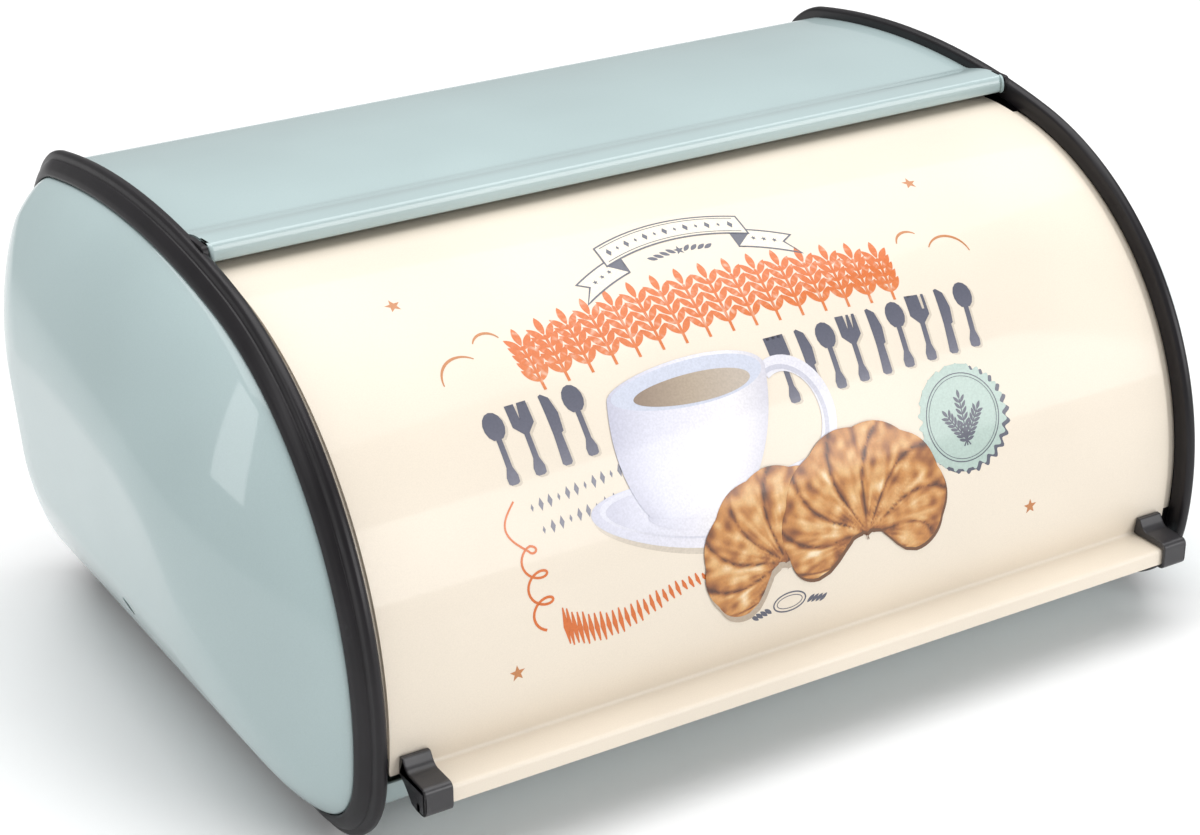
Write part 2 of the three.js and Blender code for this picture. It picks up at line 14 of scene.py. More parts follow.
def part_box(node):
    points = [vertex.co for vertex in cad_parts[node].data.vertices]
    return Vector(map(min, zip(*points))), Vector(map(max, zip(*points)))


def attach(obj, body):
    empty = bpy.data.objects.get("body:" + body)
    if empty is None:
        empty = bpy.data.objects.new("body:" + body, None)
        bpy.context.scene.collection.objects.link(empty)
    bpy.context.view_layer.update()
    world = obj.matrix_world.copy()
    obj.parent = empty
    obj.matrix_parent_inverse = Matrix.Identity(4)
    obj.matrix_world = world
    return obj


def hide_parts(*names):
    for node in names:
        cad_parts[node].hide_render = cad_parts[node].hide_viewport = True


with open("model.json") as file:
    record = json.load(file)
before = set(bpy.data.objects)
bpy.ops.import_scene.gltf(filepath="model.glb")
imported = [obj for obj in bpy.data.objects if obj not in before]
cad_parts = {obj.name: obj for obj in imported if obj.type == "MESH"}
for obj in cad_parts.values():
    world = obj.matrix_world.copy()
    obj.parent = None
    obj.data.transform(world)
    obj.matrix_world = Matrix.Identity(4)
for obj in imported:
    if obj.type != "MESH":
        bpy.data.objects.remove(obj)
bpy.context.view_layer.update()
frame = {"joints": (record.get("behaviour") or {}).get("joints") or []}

MM = 0.001
PIVOT = Vector(frame["joints"][0]["pos_m"]) / MM
SIDES = {"left": -1, "right": 1}


def corners(node):
    """The lowest and highest corner of a CAD node, in millimetres from the pivot."""
    return [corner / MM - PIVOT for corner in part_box(node)]


# Sizes that the frame gives.
TRIM_LOW, TRIM_HIGH = corners("left_trim_frame")
DOOR_HIGH = corners("door_panel")[1]
CLIP_LOW, CLIP_HIGH = corners("left_lift_clip")
FRONT_R = -TRIM_LOW.y
BACK_REACH = TRIM_HIGH.y
BASE = TRIM_LOW.z
TABLE = -PIVOT.z
DOOR_END = 5.0
CREST_X = DOOR_HIGH.x + DOOR_END

# Sizes of the design.
LOWER_FRONT_R = 32.8
LOWER_BACK_R = 36.0
TOP_R = 288.0
TOP_START = radians(103)
TOP_CENTRE = ((FRONT_R - TOP_R) * cos(TOP_START), (FRONT_R - TOP_R) * sin(TOP_START))
TOP_BACK_R = 31.4
LEAST_CORNER = 14.0
SHEET = 0.8
GAP = 0.3
TOP_INSET = 3.8
FLOOR_INSET = 6.4
SHEET_END = 0.9
BACK_FACE = BACK_REACH - TOP_INSET
UNDERSIDE = BASE + FLOOR_INSET
DOOR_R = 98.5
DOOR_TOP = radians(86)
FLANGE_HEIGHT = -15.2
FLANGE_FRONT = -110.7
LIP_DROP = 5.0
NOTCH_X = 8.9
LEAST_R = 1e-4


# ---------------- outlines

def polar(centre, r, angle):
    """The point at a distance and direction from a centre."""
    return centre[0] + r * cos(angle), centre[1] + r * sin(angle)


def arc(centre, r, start, end, steps):
    """Points on an arc, angles in radians."""
    return [polar(centre, r, start + (end - start) * i / steps) for i in range(steps + 1)]


def top_height(u, inset):
    """Height of the crowned top line at u."""
    return TOP_CENTRE[1] + sqrt((TOP_R - inset) ** 2 - (u - TOP_CENTRE[0]) ** 2)


def top_angle(u, w):
    """Direction from the middle of the crown's round to a point."""
    return atan2(w - TOP_CENTRE[1], u - TOP_CENTRE[0])


def outline(inset):
    """The end's side outline at a distance inside its crest, anticlockwise from the lower back corner."""
    front_r = max(LOWER_FRONT_R - inset, LEAST_CORNER)
    top_r = max(TOP_BACK_R - inset, LEAST_CORNER)
    back_r = max(LOWER_BACK_R - inset, LEAST_CORNER)
    front_w = BASE + inset + front_r
    front = (-sqrt((FRONT_R - inset - front_r) ** 2 - front_w ** 2), front_w)
    top_u = BACK_REACH - inset - top_r
    top_corner = (top_u, top_height(top_u, inset + top_r))
    top_end = top_angle(*top_corner)
    front_end = atan2(front[1], front[0]) % (2 * pi)
    return [
        *arc((BACK_REACH - inset - back_r, BASE + inset + back_r), back_r, -pi / 2, 0, 24),
        *arc(top_corner, top_r, 0, top_end, 32),
        *arc(TOP_CENTRE, TOP_R - inset, top_end, TOP_START, 20)[1:],
        *arc((0, 0), FRONT_R - inset, TOP_START, front_end, 76)[1:],
        *arc(front, front_r, front_end, 1.5 * pi, 28)[1:],
    ]


def rounded(points, radius, steps=4, loop=False):
    """The same path with its corners rounded."""
    made = []
    count = len(points)
    for i, p in enumerate(points):
        if not loop and i in (0, count - 1):
            made.append(tuple(p))
            continue
        p, before, after = Vector(p), Vector(points[i - 1]), Vector(points[(i + 1) % count])
        reach = min(radius, 0.45 * (before - p).length, 0.45 * (after - p).length)
        a = p + (before - p).normalized() * reach
        b = p + (after - p).normalized() * reach
        for k in range(steps + 1):
            t = k / steps
            made.append(tuple(a * (1 - t) ** 2 + p * 2 * t * (1 - t) + b * t ** 2))
    return made


def shifted(path, distance):
    """An open path moved to its left by a distance."""
    made = []
    for i, p in enumerate(path):
        before = Vector(path[max(i - 1, 0)])
        after = Vector(path[min(i + 1, len(path) - 1)])
        here = Vector(p)
        first = (here - before).normalized() if i else (after - here).normalized()
        second = (after - here).normalized() if i < len(path) - 1 else first
        middle = (first + second).normalized()
        stretch = 1 / max(0.5, middle.dot(first))
        made.append((p[0] - middle.y * distance * stretch, p[1] + middle.x * distance * stretch))
    return made


# ---------------- mesh making

def merged(*parts):
    """Several (points, faces) pairs as one."""
    points, faces = [], []
    for part_points, part_faces in parts:
        start = len(points)
        points += part_points
        faces += [tuple(start + i for i in face) for face in part_faces]
    return points, faces


def loft(sections, ring=False, ends="face"):
    """Quads through closed sections of equal length; ends are one face, or a strip for a sheet."""
    count = len(sections[0])
    points = [p for section in sections for p in section]
    faces = []
    for s in range(len(sections) if ring else len(sections) - 1):
        a, b = s * count, (s + 1) % len(sections) * count
        faces += [(a + i, a + (i + 1) % count, b + (i + 1) % count, b + i) for i in range(count)]
    for start in () if ring else (0, len(points) - count):
        if ends == "face":
            faces.append(tuple(range(start, start + count)))
        else:
            last = start + count - 1
            faces += [(start + i, start + i + 1, last - i - 1, last - i) for i in range(count // 2 - 1)]
    return points, faces


def prism(points, x0, x1, ends="face"):
    """A side outline drawn out from x0 to x1."""
    return loft([[(x, u, w) for u, w in points] for x in (x0, x1)], ends=ends)


def sheet(path, x0, x1):
    """A bent sheet: its outer face follows the path, and it is as long as x0 to x1."""
    return prism(path + shifted(path, SHEET)[::-1], x0, x1, ends="strip")


def wide_sheet(path, end):
    """A sheet along the whole box, which stops short of both crest planes."""
    return sheet(path, -CREST_X + end, CREST_X - end)


def in_axis(axis, along, a, b, place):
    """A point at place, moved by one distance along an axis and two across it."""
    step = {"x": (along, a, b), "u": (a, along, b), "w": (a, b, along)}[axis]
    return tuple(p + q for p, q in zip(step, place))


def turned(profile, axis="x", place=(0, 0, 0), sides=48):
    """A solid of revolution; the profile holds (along, radius) points."""
    sections = []
    for along, r in profile:
        ring = [polar((0, 0), max(r, LEAST_R), 2 * pi * k / sides) for k in range(sides)]
        sections.append([in_axis(axis, along, a, b, place) for a, b in ring])
    return loft(sections)


def added(name, data):
    """A new object in the scene."""
    obj = bpy.data.objects.new(name, data)
    bpy.context.scene.collection.objects.link(obj)
    return obj


def new_mesh(name, shape):
    """A mesh of a shape, in the frame's metres, with joined corners and faces turned outwards."""
    points, faces = shape
    mesh = bpy.data.meshes.new(name)
    mesh.from_pydata([(Vector(p) + PIVOT) * MM for p in points], [], faces)
    made = bmesh.new()
    made.from_mesh(mesh)
    bmesh.ops.remove_doubles(made, verts=made.verts, dist=0.002 * MM)
    bmesh.ops.recalc_face_normals(made, faces=made.faces)
    made.to_mesh(mesh)
    made.free()
    return mesh


def settled(obj):
    """The object's mesh as its modifiers make it."""
    view = bpy.context.evaluated_depsgraph_get()
    return bpy.data.meshes.new_from_object(obj.evaluated_get(view))


def placed(shape, side):
    """A shape drawn from the left crest plane, moved to one end of the box."""
    points, faces = shape
    return [(SIDES[side] * (CREST_X - x), u, w) for x, u, w in points], faces


def piece(name, shape, finish, replaces=(), body="housing", bevel=0.0, sharp=32):
    """One piece of the box, with its finish, riding on a body and standing for CAD nodes."""
    obj = added(name, new_mesh(name, shape))
    obj.data.materials.append(FINISHES[finish])
    shade(obj, sharp)
    if bevel:
        cut = obj.modifiers.new("soft_edges", "BEVEL")
        cut.width = bevel * MM
        cut.segments = 3
        cut.limit_method = "ANGLE"
        cut.angle_limit = radians(40)
        cut.harden_normals = True
    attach(obj, body)
    if replaces:
        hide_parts(*replaces)
    return obj


def shade(obj, sharp):
    """Smooth faces, with edges over an angle in degrees kept sharp."""
    obj.data.polygons.foreach_set("use_smooth", [True] * len(obj.data.polygons))
    obj.data.set_sharp_from_angle(angle=radians(sharp))


def end_piece(side, name, shape, finish, node=None, **settings):
    """A piece of one end, drawn from the left crest plane; it may stand for one of the end's nodes."""
    replaced = [f"{side}_{node}"] if node else ()
    return piece(f"{side}_{name}", placed(shape, side), finish, replaced, **settings)


def carve(obj, *cutters, sharp=32):
    """Cuts the shapes away from a piece for good."""
    bevels = list(obj.modifiers)
    for bevel in bevels:
        bevel.show_viewport = False
    for shape in cutters:
        cutter = added("cutter", new_mesh("cutter", shape))
        boolean = obj.modifiers.new("cut", "BOOLEAN")
        boolean.object = cutter
        boolean.solver = "EXACT"
        obj.data = settled(obj)
        obj.modifiers.remove(boolean)
        bpy.data.objects.remove(cutter)
    for bevel in bevels:
        bevel.show_viewport = True
    shade(obj, sharp)


# ---------------- finishes

class Finish:
    """A material in the making: its shader and the layers that the finishes share."""

    def __init__(self, name, values):
        self.material = bpy.data.materials.new(name)
        self.material.use_nodes = True
        self.nodes = self.material.node_tree.nodes
        self.links = self.material.node_tree.links
        self.shader = self.nodes["Principled BSDF"]
        for key, value in values.items():
            self.shader.inputs[key].default_value = value

    def drive(self, socket, source):
        """Feeds one of the shader's sockets."""
        self.links.new(source, self.shader.inputs[socket])

    def node(self, kind, **values):
        """A node with named sockets or settings; a value may be the output of another node."""
        made = self.nodes.new(kind)
        for key, value in values.items():
            if isinstance(value, bpy.types.NodeSocket):
                self.links.new(value, made.inputs[key])
            elif key in made.inputs:
                made.inputs[key].default_value = value
            else:
                setattr(made, key, value)
        return made

    def noise(self, scale, detail, stretch=None):
        """Noise in object space, in cycles per metre."""
        space = self.nodes.new("ShaderNodeTexCoord").outputs["Object"]
        if stretch:
            space = self.node("ShaderNodeMapping", Vector=space, Scale=stretch).outputs["Vector"]
        return self.node("ShaderNodeTexNoise", Vector=space, Scale=scale, Detail=detail).outputs["Fac"]

    def ramp(self, source, low, high, at=(0.35, 0.65)):
        """A colour that goes from low to high as the source crosses a span."""
        made = self.node("ShaderNodeValToRGB", Fac=source)
        for element, position, colour in zip(made.color_ramp.elements, at, (low, high)):
            element.position = position
            element.color = (*colour, 1)
        return made.outputs["Color"]

    def level(self, source, low, high):
        """A number that goes from low to high with the source."""
        span = {"To Min": low, "To Max": high}
        return self.node("ShaderNodeMapRange", Value=source, **span).outputs["Result"]

    def mix(self, kind, share, first, second):
        """Two colours mixed or multiplied."""
        mixed = self.node("ShaderNodeMixRGB", blend_type=kind, Fac=share, Color1=first, Color2=second)
        return mixed.outputs["Color"]

    def bumps(self, *layers):
        """Stacked bump layers, each (height, depth in millimetres)."""
        below = {}
        for height, depth in layers:
            bump = self.node("ShaderNodeBump", Strength=1.0, Distance=depth * MM, Height=height, **below)
            below = {"Normal": bump.outputs["Normal"]}
        self.drive("Normal", below["Normal"])

    def worn_edges(self):
        """Near 1 along outer edges and 0 elsewhere, broken up by noise."""
        geometry = self.nodes.new("ShaderNodeNewGeometry")
        edge = self.ramp(geometry.outputs["Pointiness"], (0, 0, 0), (1, 1, 1), at=(0.52, 0.62))
        spots = self.ramp(self.noise(160, 5), (0, 0, 0), (1, 1, 1), at=(0.42, 0.62))
        both = self.node("ShaderNodeMath", operation="MULTIPLY")
        self.links.new(edge, both.inputs[0])
        self.links.new(spots, both.inputs[1])
        return both.outputs["Value"]


def enamel(name, colour, roughness, coat):
    """Stove enamel on steel: faint mottling, orange peel and a clear gloss."""
    paint = Finish(name, {"Specular IOR Level": 0.3, "Coat Weight": coat, "Coat Roughness": 0.06})
    pale = [min(1, c * 1.025) for c in colour]
    tint = paint.ramp(paint.noise(14, 2), [c * 0.965 for c in colour], pale)
    fleck = paint.ramp(paint.noise(2600, 2), (0.95, 0.95, 0.95), (1.03, 1.03, 1.03), at=(0.3, 0.7))
    paint.drive("Base Color", paint.mix("MULTIPLY", 0.6, tint, fleck))
    paint.drive("Roughness", paint.level(paint.noise(45, 4), roughness - 0.05, roughness + 0.06))
    paint.bumps((paint.noise(420, 2), 0.010), (paint.noise(2200, 2), 0.0025))
    return paint.material


def moulded(name, colour, worn, roughness, grain, depth, shine=0.5):
    """Moulded plastic or rubber: fine spark-eroded grain and slightly paler edges."""
    plastic = Finish(name, {"Specular IOR Level": shine})
    cloud = plastic.noise(60, 4)
    tint = plastic.ramp(cloud, [c * 0.85 for c in colour], [c * 1.15 for c in colour])
    colours = plastic.mix("MIX", plastic.worn_edges(), tint, (*worn, 1))
    plastic.drive("Base Color", colours)
    smear = plastic.noise(110, 4)
    plastic.drive("Roughness", plastic.level(smear, roughness - 0.06, roughness + 0.08))
    plastic.bumps((plastic.noise(130, 2), 0.03), (plastic.noise(grain, 3), depth))
    return plastic.material


def zinc_steel(name):
    """Bright zinc plate: turned streaks, blotchy roughness."""
    steel = Finish(name, {"Metallic": 1.0})
    cloud = steel.noise(350, 4)
    steel.drive("Base Color", steel.ramp(cloud, (0.52, 0.53, 0.54), (0.72, 0.72, 0.71)))
    steel.drive("Roughness", steel.level(cloud, 0.2, 0.42))
    steel.bumps((steel.noise(900, 3, stretch=(6, 1, 1)), 0.004))
    return steel.material


def printing_ink(name):
    """Screen-printed ink in the colours of each mesh, with the dot grain of the print."""
    film = Finish(name, {"Coat Weight": 0.25, "Coat Roughness": 0.08})
    colour = film.node("ShaderNodeAttribute", attribute_name="ink").outputs["Color"]
    dots = film.noise(1500, 3)
    grain = film.ramp(dots, (0.9, 0.9, 0.9), (1.06, 1.06, 1.06))
    film.drive("Base Color", film.mix("MULTIPLY", 0.7, colour, grain))
    film.drive("Roughness", film.level(film.noise(90, 3), 0.3, 0.42))
    film.bumps((dots, 0.002))
    return film.material


FINISHES = {
    "blue_enamel": enamel("blue_enamel_paint", (0.415, 0.52, 0.525), roughness=0.38, coat=0.7),
    "cream_enamel": enamel("cream_enamel_paint", (0.77, 0.69, 0.58), roughness=0.42, coat=0.25),
    "black_plastic": moulded(
        "black_plastic_satin", (0.011, 0.0095, 0.0115), (0.03, 0.029, 0.033),
        roughness=0.36, grain=1800, depth=0.010, shine=0.3,
    ),
    "rubber": moulded(
        "rubber_black", (0.018, 0.018, 0.018), (0.04, 0.04, 0.04), roughness=0.78, grain=2400, depth=0.02,
    ),
    "nylon": moulded(
        "nylon_natural", (0.66, 0.64, 0.58), (0.75, 0.73, 0.68), roughness=0.45, grain=1500, depth=0.006,
    ),
    "steel": zinc_steel("steel_zinc"),
}
# The clips' black plastic is painted a little paler than the trim's. This is a painted sheen that stands
# for the light on their tabs.
CLIP_PLASTIC_PAINTED_SHEEN = moulded(
    "clip_plastic_painted_sheen", (0.026, 0.025, 0.028), (0.06, 0.058, 0.062),
    roughness=0.34, grain=1800, depth=0.010,
)
INK = printing_ink("door_print_ink")


# ---------------- sheet metal

LIP_FRONT = -6.3
LIP_BOTTOM = 101.2
LIP_TOP = 106.8
LIP_RISE_BACK = 14.0
LIP_FLAT_BACK = 6.5
LIP_END = 2.4
LIP_END_R = 1.2
BACK_LOWER_EDGE = -6.0


def lip_path():
    """Outer face of the raised lip, from the panel over the nose to its short return."""
    return rounded([
        (LIP_RISE_BACK + 4, top_height(LIP_RISE_BACK + 4, TOP_INSET)),
        (LIP_RISE_BACK, top_height(LIP_RISE_BACK, TOP_INSET)),
        (LIP_FLAT_BACK, LIP_TOP - 0.7), (LIP_FLAT_BACK - 4, LIP_TOP - 0.05),
        (LIP_FRONT + 1.2, LIP_TOP - 0.05), (LIP_FRONT, LIP_TOP - 2.2),
        (LIP_FRONT, LIP_BOTTOM), (LIP_FRONT + 5, LIP_BOTTOM),
    ], 1.9, 8)


def make_top_panel():
    corner_u = BACK_REACH - TOP_BACK_R
    corner = (corner_u, top_height(corner_u, TOP_BACK_R))
    panel_end = (LIP_RISE_BACK + 3.6, top_height(LIP_RISE_BACK + 3.6, TOP_INSET))
    panel = [
        (BACK_FACE, BACK_LOWER_EDGE),
        *arc(corner, TOP_BACK_R - TOP_INSET, 0, top_angle(*corner), 40),
        *arc(TOP_CENTRE, TOP_R - TOP_INSET, top_angle(*corner), top_angle(*panel_end), 40)[1:],
    ]
    piece("top_back_panel", wide_sheet(panel, SHEET_END), "blue_enamel", ["top_back_sheet"], bevel=0.2)
    path = lip_path()
    section = path + shifted(path, SHEET)[::-1]
    sections = []
    for end in (-1, 1):
        for step in range(7)[::end]:
            turn = step / 6 * pi / 2
            inset = LIP_END_R * (1 - cos(turn))
            cut_back = LIP_END_R * (1 - sin(turn))
            sections.append([lip_point(end, u, w, inset, cut_back) for u, w in section])
    piece("top_front_lip", loft(sections, ends="strip"), "blue_enamel", bevel=0.15)


def lip_point(end, u, w, inset, cut_back):
    """A point of the lip near its end, whose front corner is rounded; its rear runs full length."""
    rise = min(1.0, max(0.0, (LIP_RISE_BACK - u) / (LIP_RISE_BACK - LIP_FLAT_BACK)))
    nose = min(1.0, max(0.0, (LIP_FLAT_BACK - u) / (LIP_FLAT_BACK - LIP_FRONT)))
    reach = SHEET_END + (LIP_END - SHEET_END) * rise + inset * nose
    return end * (CREST_X - reach), u + cut_back * nose ** 2 * 0.8, w


LOWER_FRONT_W = BASE + LOWER_FRONT_R
LOWER_FRONT = (-sqrt((FRONT_R - LOWER_FRONT_R) ** 2 - LOWER_FRONT_W ** 2), LOWER_FRONT_W)
SILL_ANGLE = radians(199)
LAP_R = 30.0
LAP_TOP = 8.0


def make_floor_pan():
    lap_u = BACK_FACE - SHEET - GAP
    path = [
        *arc(LOWER_FRONT, LOWER_FRONT_R - FLOOR_INSET, SILL_ANGLE, 1.5 * pi, 36),
        *arc((lap_u - LAP_R, UNDERSIDE + LAP_R), LAP_R, -pi / 2, 0, 30),
        (lap_u, LAP_TOP),
    ]
    piece("floor_pan", wide_sheet(path, SHEET_END), "blue_enamel", ["bottom_sheet"], bevel=0.2)


def make_door():
    crease = pi - asin(FLANGE_HEIGHT / DOOR_R)
    fold = rounded([
        polar((0, 0), DOOR_R, crease - 0.04), (DOOR_R * cos(crease), FLANGE_HEIGHT),
        (FLANGE_FRONT, FLANGE_HEIGHT), (FLANGE_FRONT, FLANGE_HEIGHT - LIP_DROP),
    ], 1.5, 8)
    path = arc((0, 0), DOOR_R, DOOR_TOP, crease - 0.06, 150) + fold
    shape = wide_sheet(path, DOOR_END)
    door = piece("door_skin", shape, "cream_enamel", ["door_panel"], body="door", bevel=0.2)
    notch = prism(
        [(-140, FLANGE_HEIGHT + 0.15), (-140, -40), (-90, -40), (-90, FLANGE_HEIGHT + 0.15)],
        -2, NOTCH_X,
    )
    carve(door, *[placed(notch, side) for side in SIDES])


# ---------------- ends

RING_SECTION = [
    (-5.0, 7.5), (-5.15, 6.8), (-4.5, 5.2), (-3.3, 3.5), (-2.4, 2.7), (-1.95, 2.7), (-1.75, 2.2),
    (-1.35, 0.8), (-0.45, 0.12), (1.1, 0.3), (2.0, 1.1), (2.0, 6.6), (-0.9, 6.6), (-0.9, 7.5),
]
WEB = (-1.2, 0.4)
WEB_INSET = 6.8
BOSS_END = -21.2
BOSS_R = 6.5
BORE_R = 2.4
GUSSETS = 6
SCREW_US = (-52.0, 78.0)
SCREW_WS = (12.0, 50.0)
EAR = 12.5
EAR_DEPTH = 3.2
EAR_X = (-0.5, 12)


def make_trim(side):
    section = rounded(RING_SECTION, 0.5, 3, loop=True)
    ring = loft([[(x, u, w) for u, w in outline(inset)] for x, inset in section], ring=True)
    end_piece(side, "trim_ring", ring, "black_plastic", "trim_frame", sharp=50)
    wall = prism(outline(WEB_INSET), *WEB)
    boss = turned(rounded([
        (WEB[1], BORE_R), (WEB[1], BOSS_R + 1.5), (WEB[0], BOSS_R + 1.2), (WEB[0] - 1.5, BOSS_R + 0.2),
        (BOSS_END, BOSS_R), (BOSS_END, BORE_R), (WEB[1], BORE_R),
    ], 0.5, 3))
    gussets = [boss_gusset(2 * pi * k / GUSSETS) for k in range(GUSSETS)]
    floor = UNDERSIDE + SHEET + GAP
    back = BACK_FACE - SHEET - GAP - EAR_DEPTH
    ears = [ear(u - EAR / 2, floor, EAR, EAR_DEPTH) for u in SCREW_US]
    ears += [ear(back, w - EAR / 2, EAR_DEPTH, EAR) for w in SCREW_WS]
    shape = merged(wall, boss, *gussets, *ears, lip_stop())
    end_piece(side, "trim_wall", shape, "black_plastic", bevel=0.35)


def boss_gusset(angle):
    """A thin rib from the wall's outer face to the boss."""
    root, tip = WEB[0] + 0.2, BOSS_END + 4
    reach, width = BOSS_R + 7, 0.6
    across = Vector((-sin(angle), cos(angle))) * width
    out = Vector((cos(angle), sin(angle)))
    sections = []
    for sign in (-1, 1):
        foot, top = out * reach + across * sign, out * (BOSS_R - 0.5) + across * sign
        sections.append([(root, *foot), (root, *top), (tip, *top), (WEB[0] - 2, *foot)])
    return loft(sections)


def ear(u, w, length, height):
    """A screw ear with its lower front corner at u, w."""
    return prism([(u, w), (u + length, w), (u + length, w + height), (u, w + height)], *EAR_X)


def lip_stop():
    """The raised pad on the trim that covers the lip's raw end."""
    path = [p for p in lip_path() if p[0] < LIP_FLAT_BACK]
    return prism(shifted(path, GAP), WEB[1], LIP_END - GAP)


CAP_RIM_INSET = 7.8
CAP_RIM_X = -4.8
CAP_SKIRT = 3.0
CAP_DEPTH = 27.35
CAP_FLANK = 44.0
CAP_POWER = 1.3
CAP_LEAN = (-0.0007, 0.0027)
CAP_HOLE_R = 2.9
CAP_CENTRE = Vector((8.0, 32.0))


def cap_depth(share, u, w):
    """How far the dome stands out of its rim; it is deeper towards the front and the top."""
    lean = 1 + CAP_LEAN[0] * (u - CAP_CENTRE.x) + CAP_LEAN[1] * (w - CAP_CENTRE.y)
    return CAP_DEPTH * lean * (1 - (1 - share) ** CAP_POWER) ** (1 / CAP_POWER)


def cap_skin(thickness):
    """Rings of the dome from its rim to the middle of its face."""
    rim = CAP_RIM_INSET + thickness
    rings = [[(CAP_RIM_X + CAP_SKIRT, u, w) for u, w in outline(rim)]]
    for step in shares(40):
        share = step ** 1.7
        contour = outline(rim + CAP_FLANK * share)
        rings.append([(CAP_RIM_X - cap_depth(share, u, w) + thickness, u, w) for u, w in contour])
    face = [Vector((u, w)) for _, u, w in rings[-1]]
    for k in range(1, 8):
        inner = [CAP_CENTRE + (p - CAP_CENTRE) * (1 - k / 8) for p in face]
        rings.append([(CAP_RIM_X - cap_depth(1, *p) + thickness, *p) for p in inner])
    return rings


def make_cap(side):
    outer, inner = cap_skin(0.0), cap_skin(SHEET)
    shape = loft(outer[::-1] + inner)
    cap = end_piece(side, "dome", shape, "blue_enamel", "end_cap", sharp=40)
    hole = turned([(-45, 0), (-45, CAP_HOLE_R), (-10, CAP_HOLE_R), (-10, 0)], sides=48)
    carve(cap, placed(hole, side), sharp=40)


# ---------------- door ends and clips

CHEEK_X = (1.5, 2.5)
CHEEK_FROM = radians(97)
CHEEK_TO = radians(186)
HUB_R = 12.0
CHEEK_RIM_WIDTH = 12.0
BUSH_R = 5.0


def make_cheek(side):
    r = DOOR_R - SHEET - GAP
    rim_path = arc((0, 0), r, CHEEK_FROM, CHEEK_TO, 96)
    hub = arc((0, 0), HUB_R, 1.55 * pi, 2.05 * pi, 24)
    shape = prism(rim_path + hub, *CHEEK_X)
    plate = end_piece(side, "door_plate", shape, "cream_enamel", "door_cheek", body="door", bevel=0.2)
    eye = turned([(0, 0), (0, BUSH_R + 0.2), (4, BUSH_R + 0.2), (4, 0)])
    carve(plate, placed(eye, side))
    rim = sheet(rim_path, CHEEK_X[0], CHEEK_X[0] + CHEEK_RIM_WIDTH)
    end_piece(side, "door_plate_rim", rim, "cream_enamel", body="door", bevel=0.2)


CLIP_X = CREST_X + CLIP_LOW.x
CLIP_WIDTH = CLIP_HIGH.x - CLIP_LOW.x
CLIP_FRONT = CLIP_LOW.y
CLIP_TAB_TOP = CLIP_HIGH.z
CLIP_FOOT = CLIP_LOW.z
CLIP_WALL = 0.9


def on_door(r, w):
    return -sqrt(r ** 2 - w ** 2), w


def make_clip(side):
    top = FLANGE_HEIGHT + 2.2
    inside = FLANGE_FRONT + SHEET + GAP
    hook_top = FLANGE_HEIGHT - LIP_DROP - GAP
    corner = on_door(DOOR_R + GAP, FLANGE_HEIGHT + GAP)
    outer = rounded([
        on_door(DOOR_R + 1.9, CLIP_TAB_TOP), (-102.2, top + 0.3),
        (CLIP_FRONT, top), (CLIP_FRONT, CLIP_FOOT), (inside + 2.2, CLIP_FOOT),
    ], 2.3, 10)
    under = [
        (inside + 2.2, FLANGE_HEIGHT - 3.2), (inside, FLANGE_HEIGHT - 3.2), (inside, hook_top),
        (FLANGE_FRONT - GAP, hook_top), (FLANGE_FRONT - GAP, FLANGE_HEIGHT + GAP),
        corner, on_door(DOOR_R + GAP, CLIP_TAB_TOP),
    ]
    hook = prism(outer + under, CLIP_X, CLIP_X + CLIP_WIDTH)
    heel = [(-104.5, CLIP_FOOT + 0.6), (-101.2, FLANGE_HEIGHT - 2.2), corner]
    wall = prism(outer + rounded(heel, 1.5, 6), CLIP_X, CLIP_X + CLIP_WALL)
    clip = end_piece(side, "finger_clip", hook, "black_plastic", "lift_clip", body="door", bevel=0.35)
    clip_side = end_piece(side, "clip_side", wall, "black_plastic", body="door", bevel=0.35)
    # The clips take the paler copy of the black plastic, whose paler colour is a painted sheen.
    for part in (clip, clip_side):
        part.data.materials[0] = CLIP_PLASTIC_PAINTED_SHEEN


BUMPER_X = 24.0
BUMPER_LENGTH = 10.0


def make_bumper(side):
    top = FLANGE_HEIGHT - SHEET - GAP
    path = rounded([
        (-98.5, top - 4.6), (-94, top - 4.6), (-93.7, top - 1.0),
        (-94.8, top), (-97.4, top), (-98.6, top - 1.0),
    ], 0.9, 5, loop=True)
    shape = prism(path, BUMPER_X, BUMPER_X + BUMPER_LENGTH)
    bumper = end_piece(side, "bumper_pad", shape, "rubber", "door_bumper", bevel=0.5)
    start, end = SILL_ANGLE - radians(2), SILL_ANGLE + 0.6
    r = LOWER_FRONT_R - FLOOR_INSET
    slot = arc(LOWER_FRONT, r + 0.1, start, end, 12)
    slot += arc(LOWER_FRONT, r - SHEET - 0.1, start, end, 12)[::-1]
    carve(bumper, placed(prism(slot, BUMPER_X - 2, BUMPER_X + BUMPER_LENGTH + 2, ends="strip"), side))


# ---------------- fixings

HEAD_R = 3.1
HEAD_H = 1.7
SHANK_R = 1.4
PIVOT_R = 2.0
RING_BORE_R = 2.3
BUSH_FLANGE_R = 9
WASHER_R = 8
WASHER = 0.8
NUT_R = 4.1
NUT_HEIGHT = 3
NUT_BORE_R = 2.05


def cross(axis, place, depth, width=0.5, reach=1.55):
    """A tapered cross recess, cut into a screw head at place; depth is signed along the axis."""
    parts = []
    for turn in (0, pi / 2):
        sections = []
        for along, scale in ((-0.3 * depth, 1.15), (depth, 0.45)):
            end = reach * scale
            slot = moved([(end, width), (-end, width), (-end, -width), (end, -width)], (0, 0), turn)
            sections.append([in_axis(axis, along, a, b, place) for a, b in slot])
        parts.append(loft(sections))
    return parts


def pan_head(base, sign, shank_end):
    """Profile of a pan-head screw from its shank to the top of its head; sign points to the head."""
    top = base + sign * HEAD_H
    profile = [(shank_end, 0), (shank_end + sign * 0.8, SHANK_R), (base, SHANK_R), (base, HEAD_R)]
    return profile + [(base + sign * HEAD_H * 0.45, HEAD_R), (top, HEAD_R * 0.62), (top, 0)]


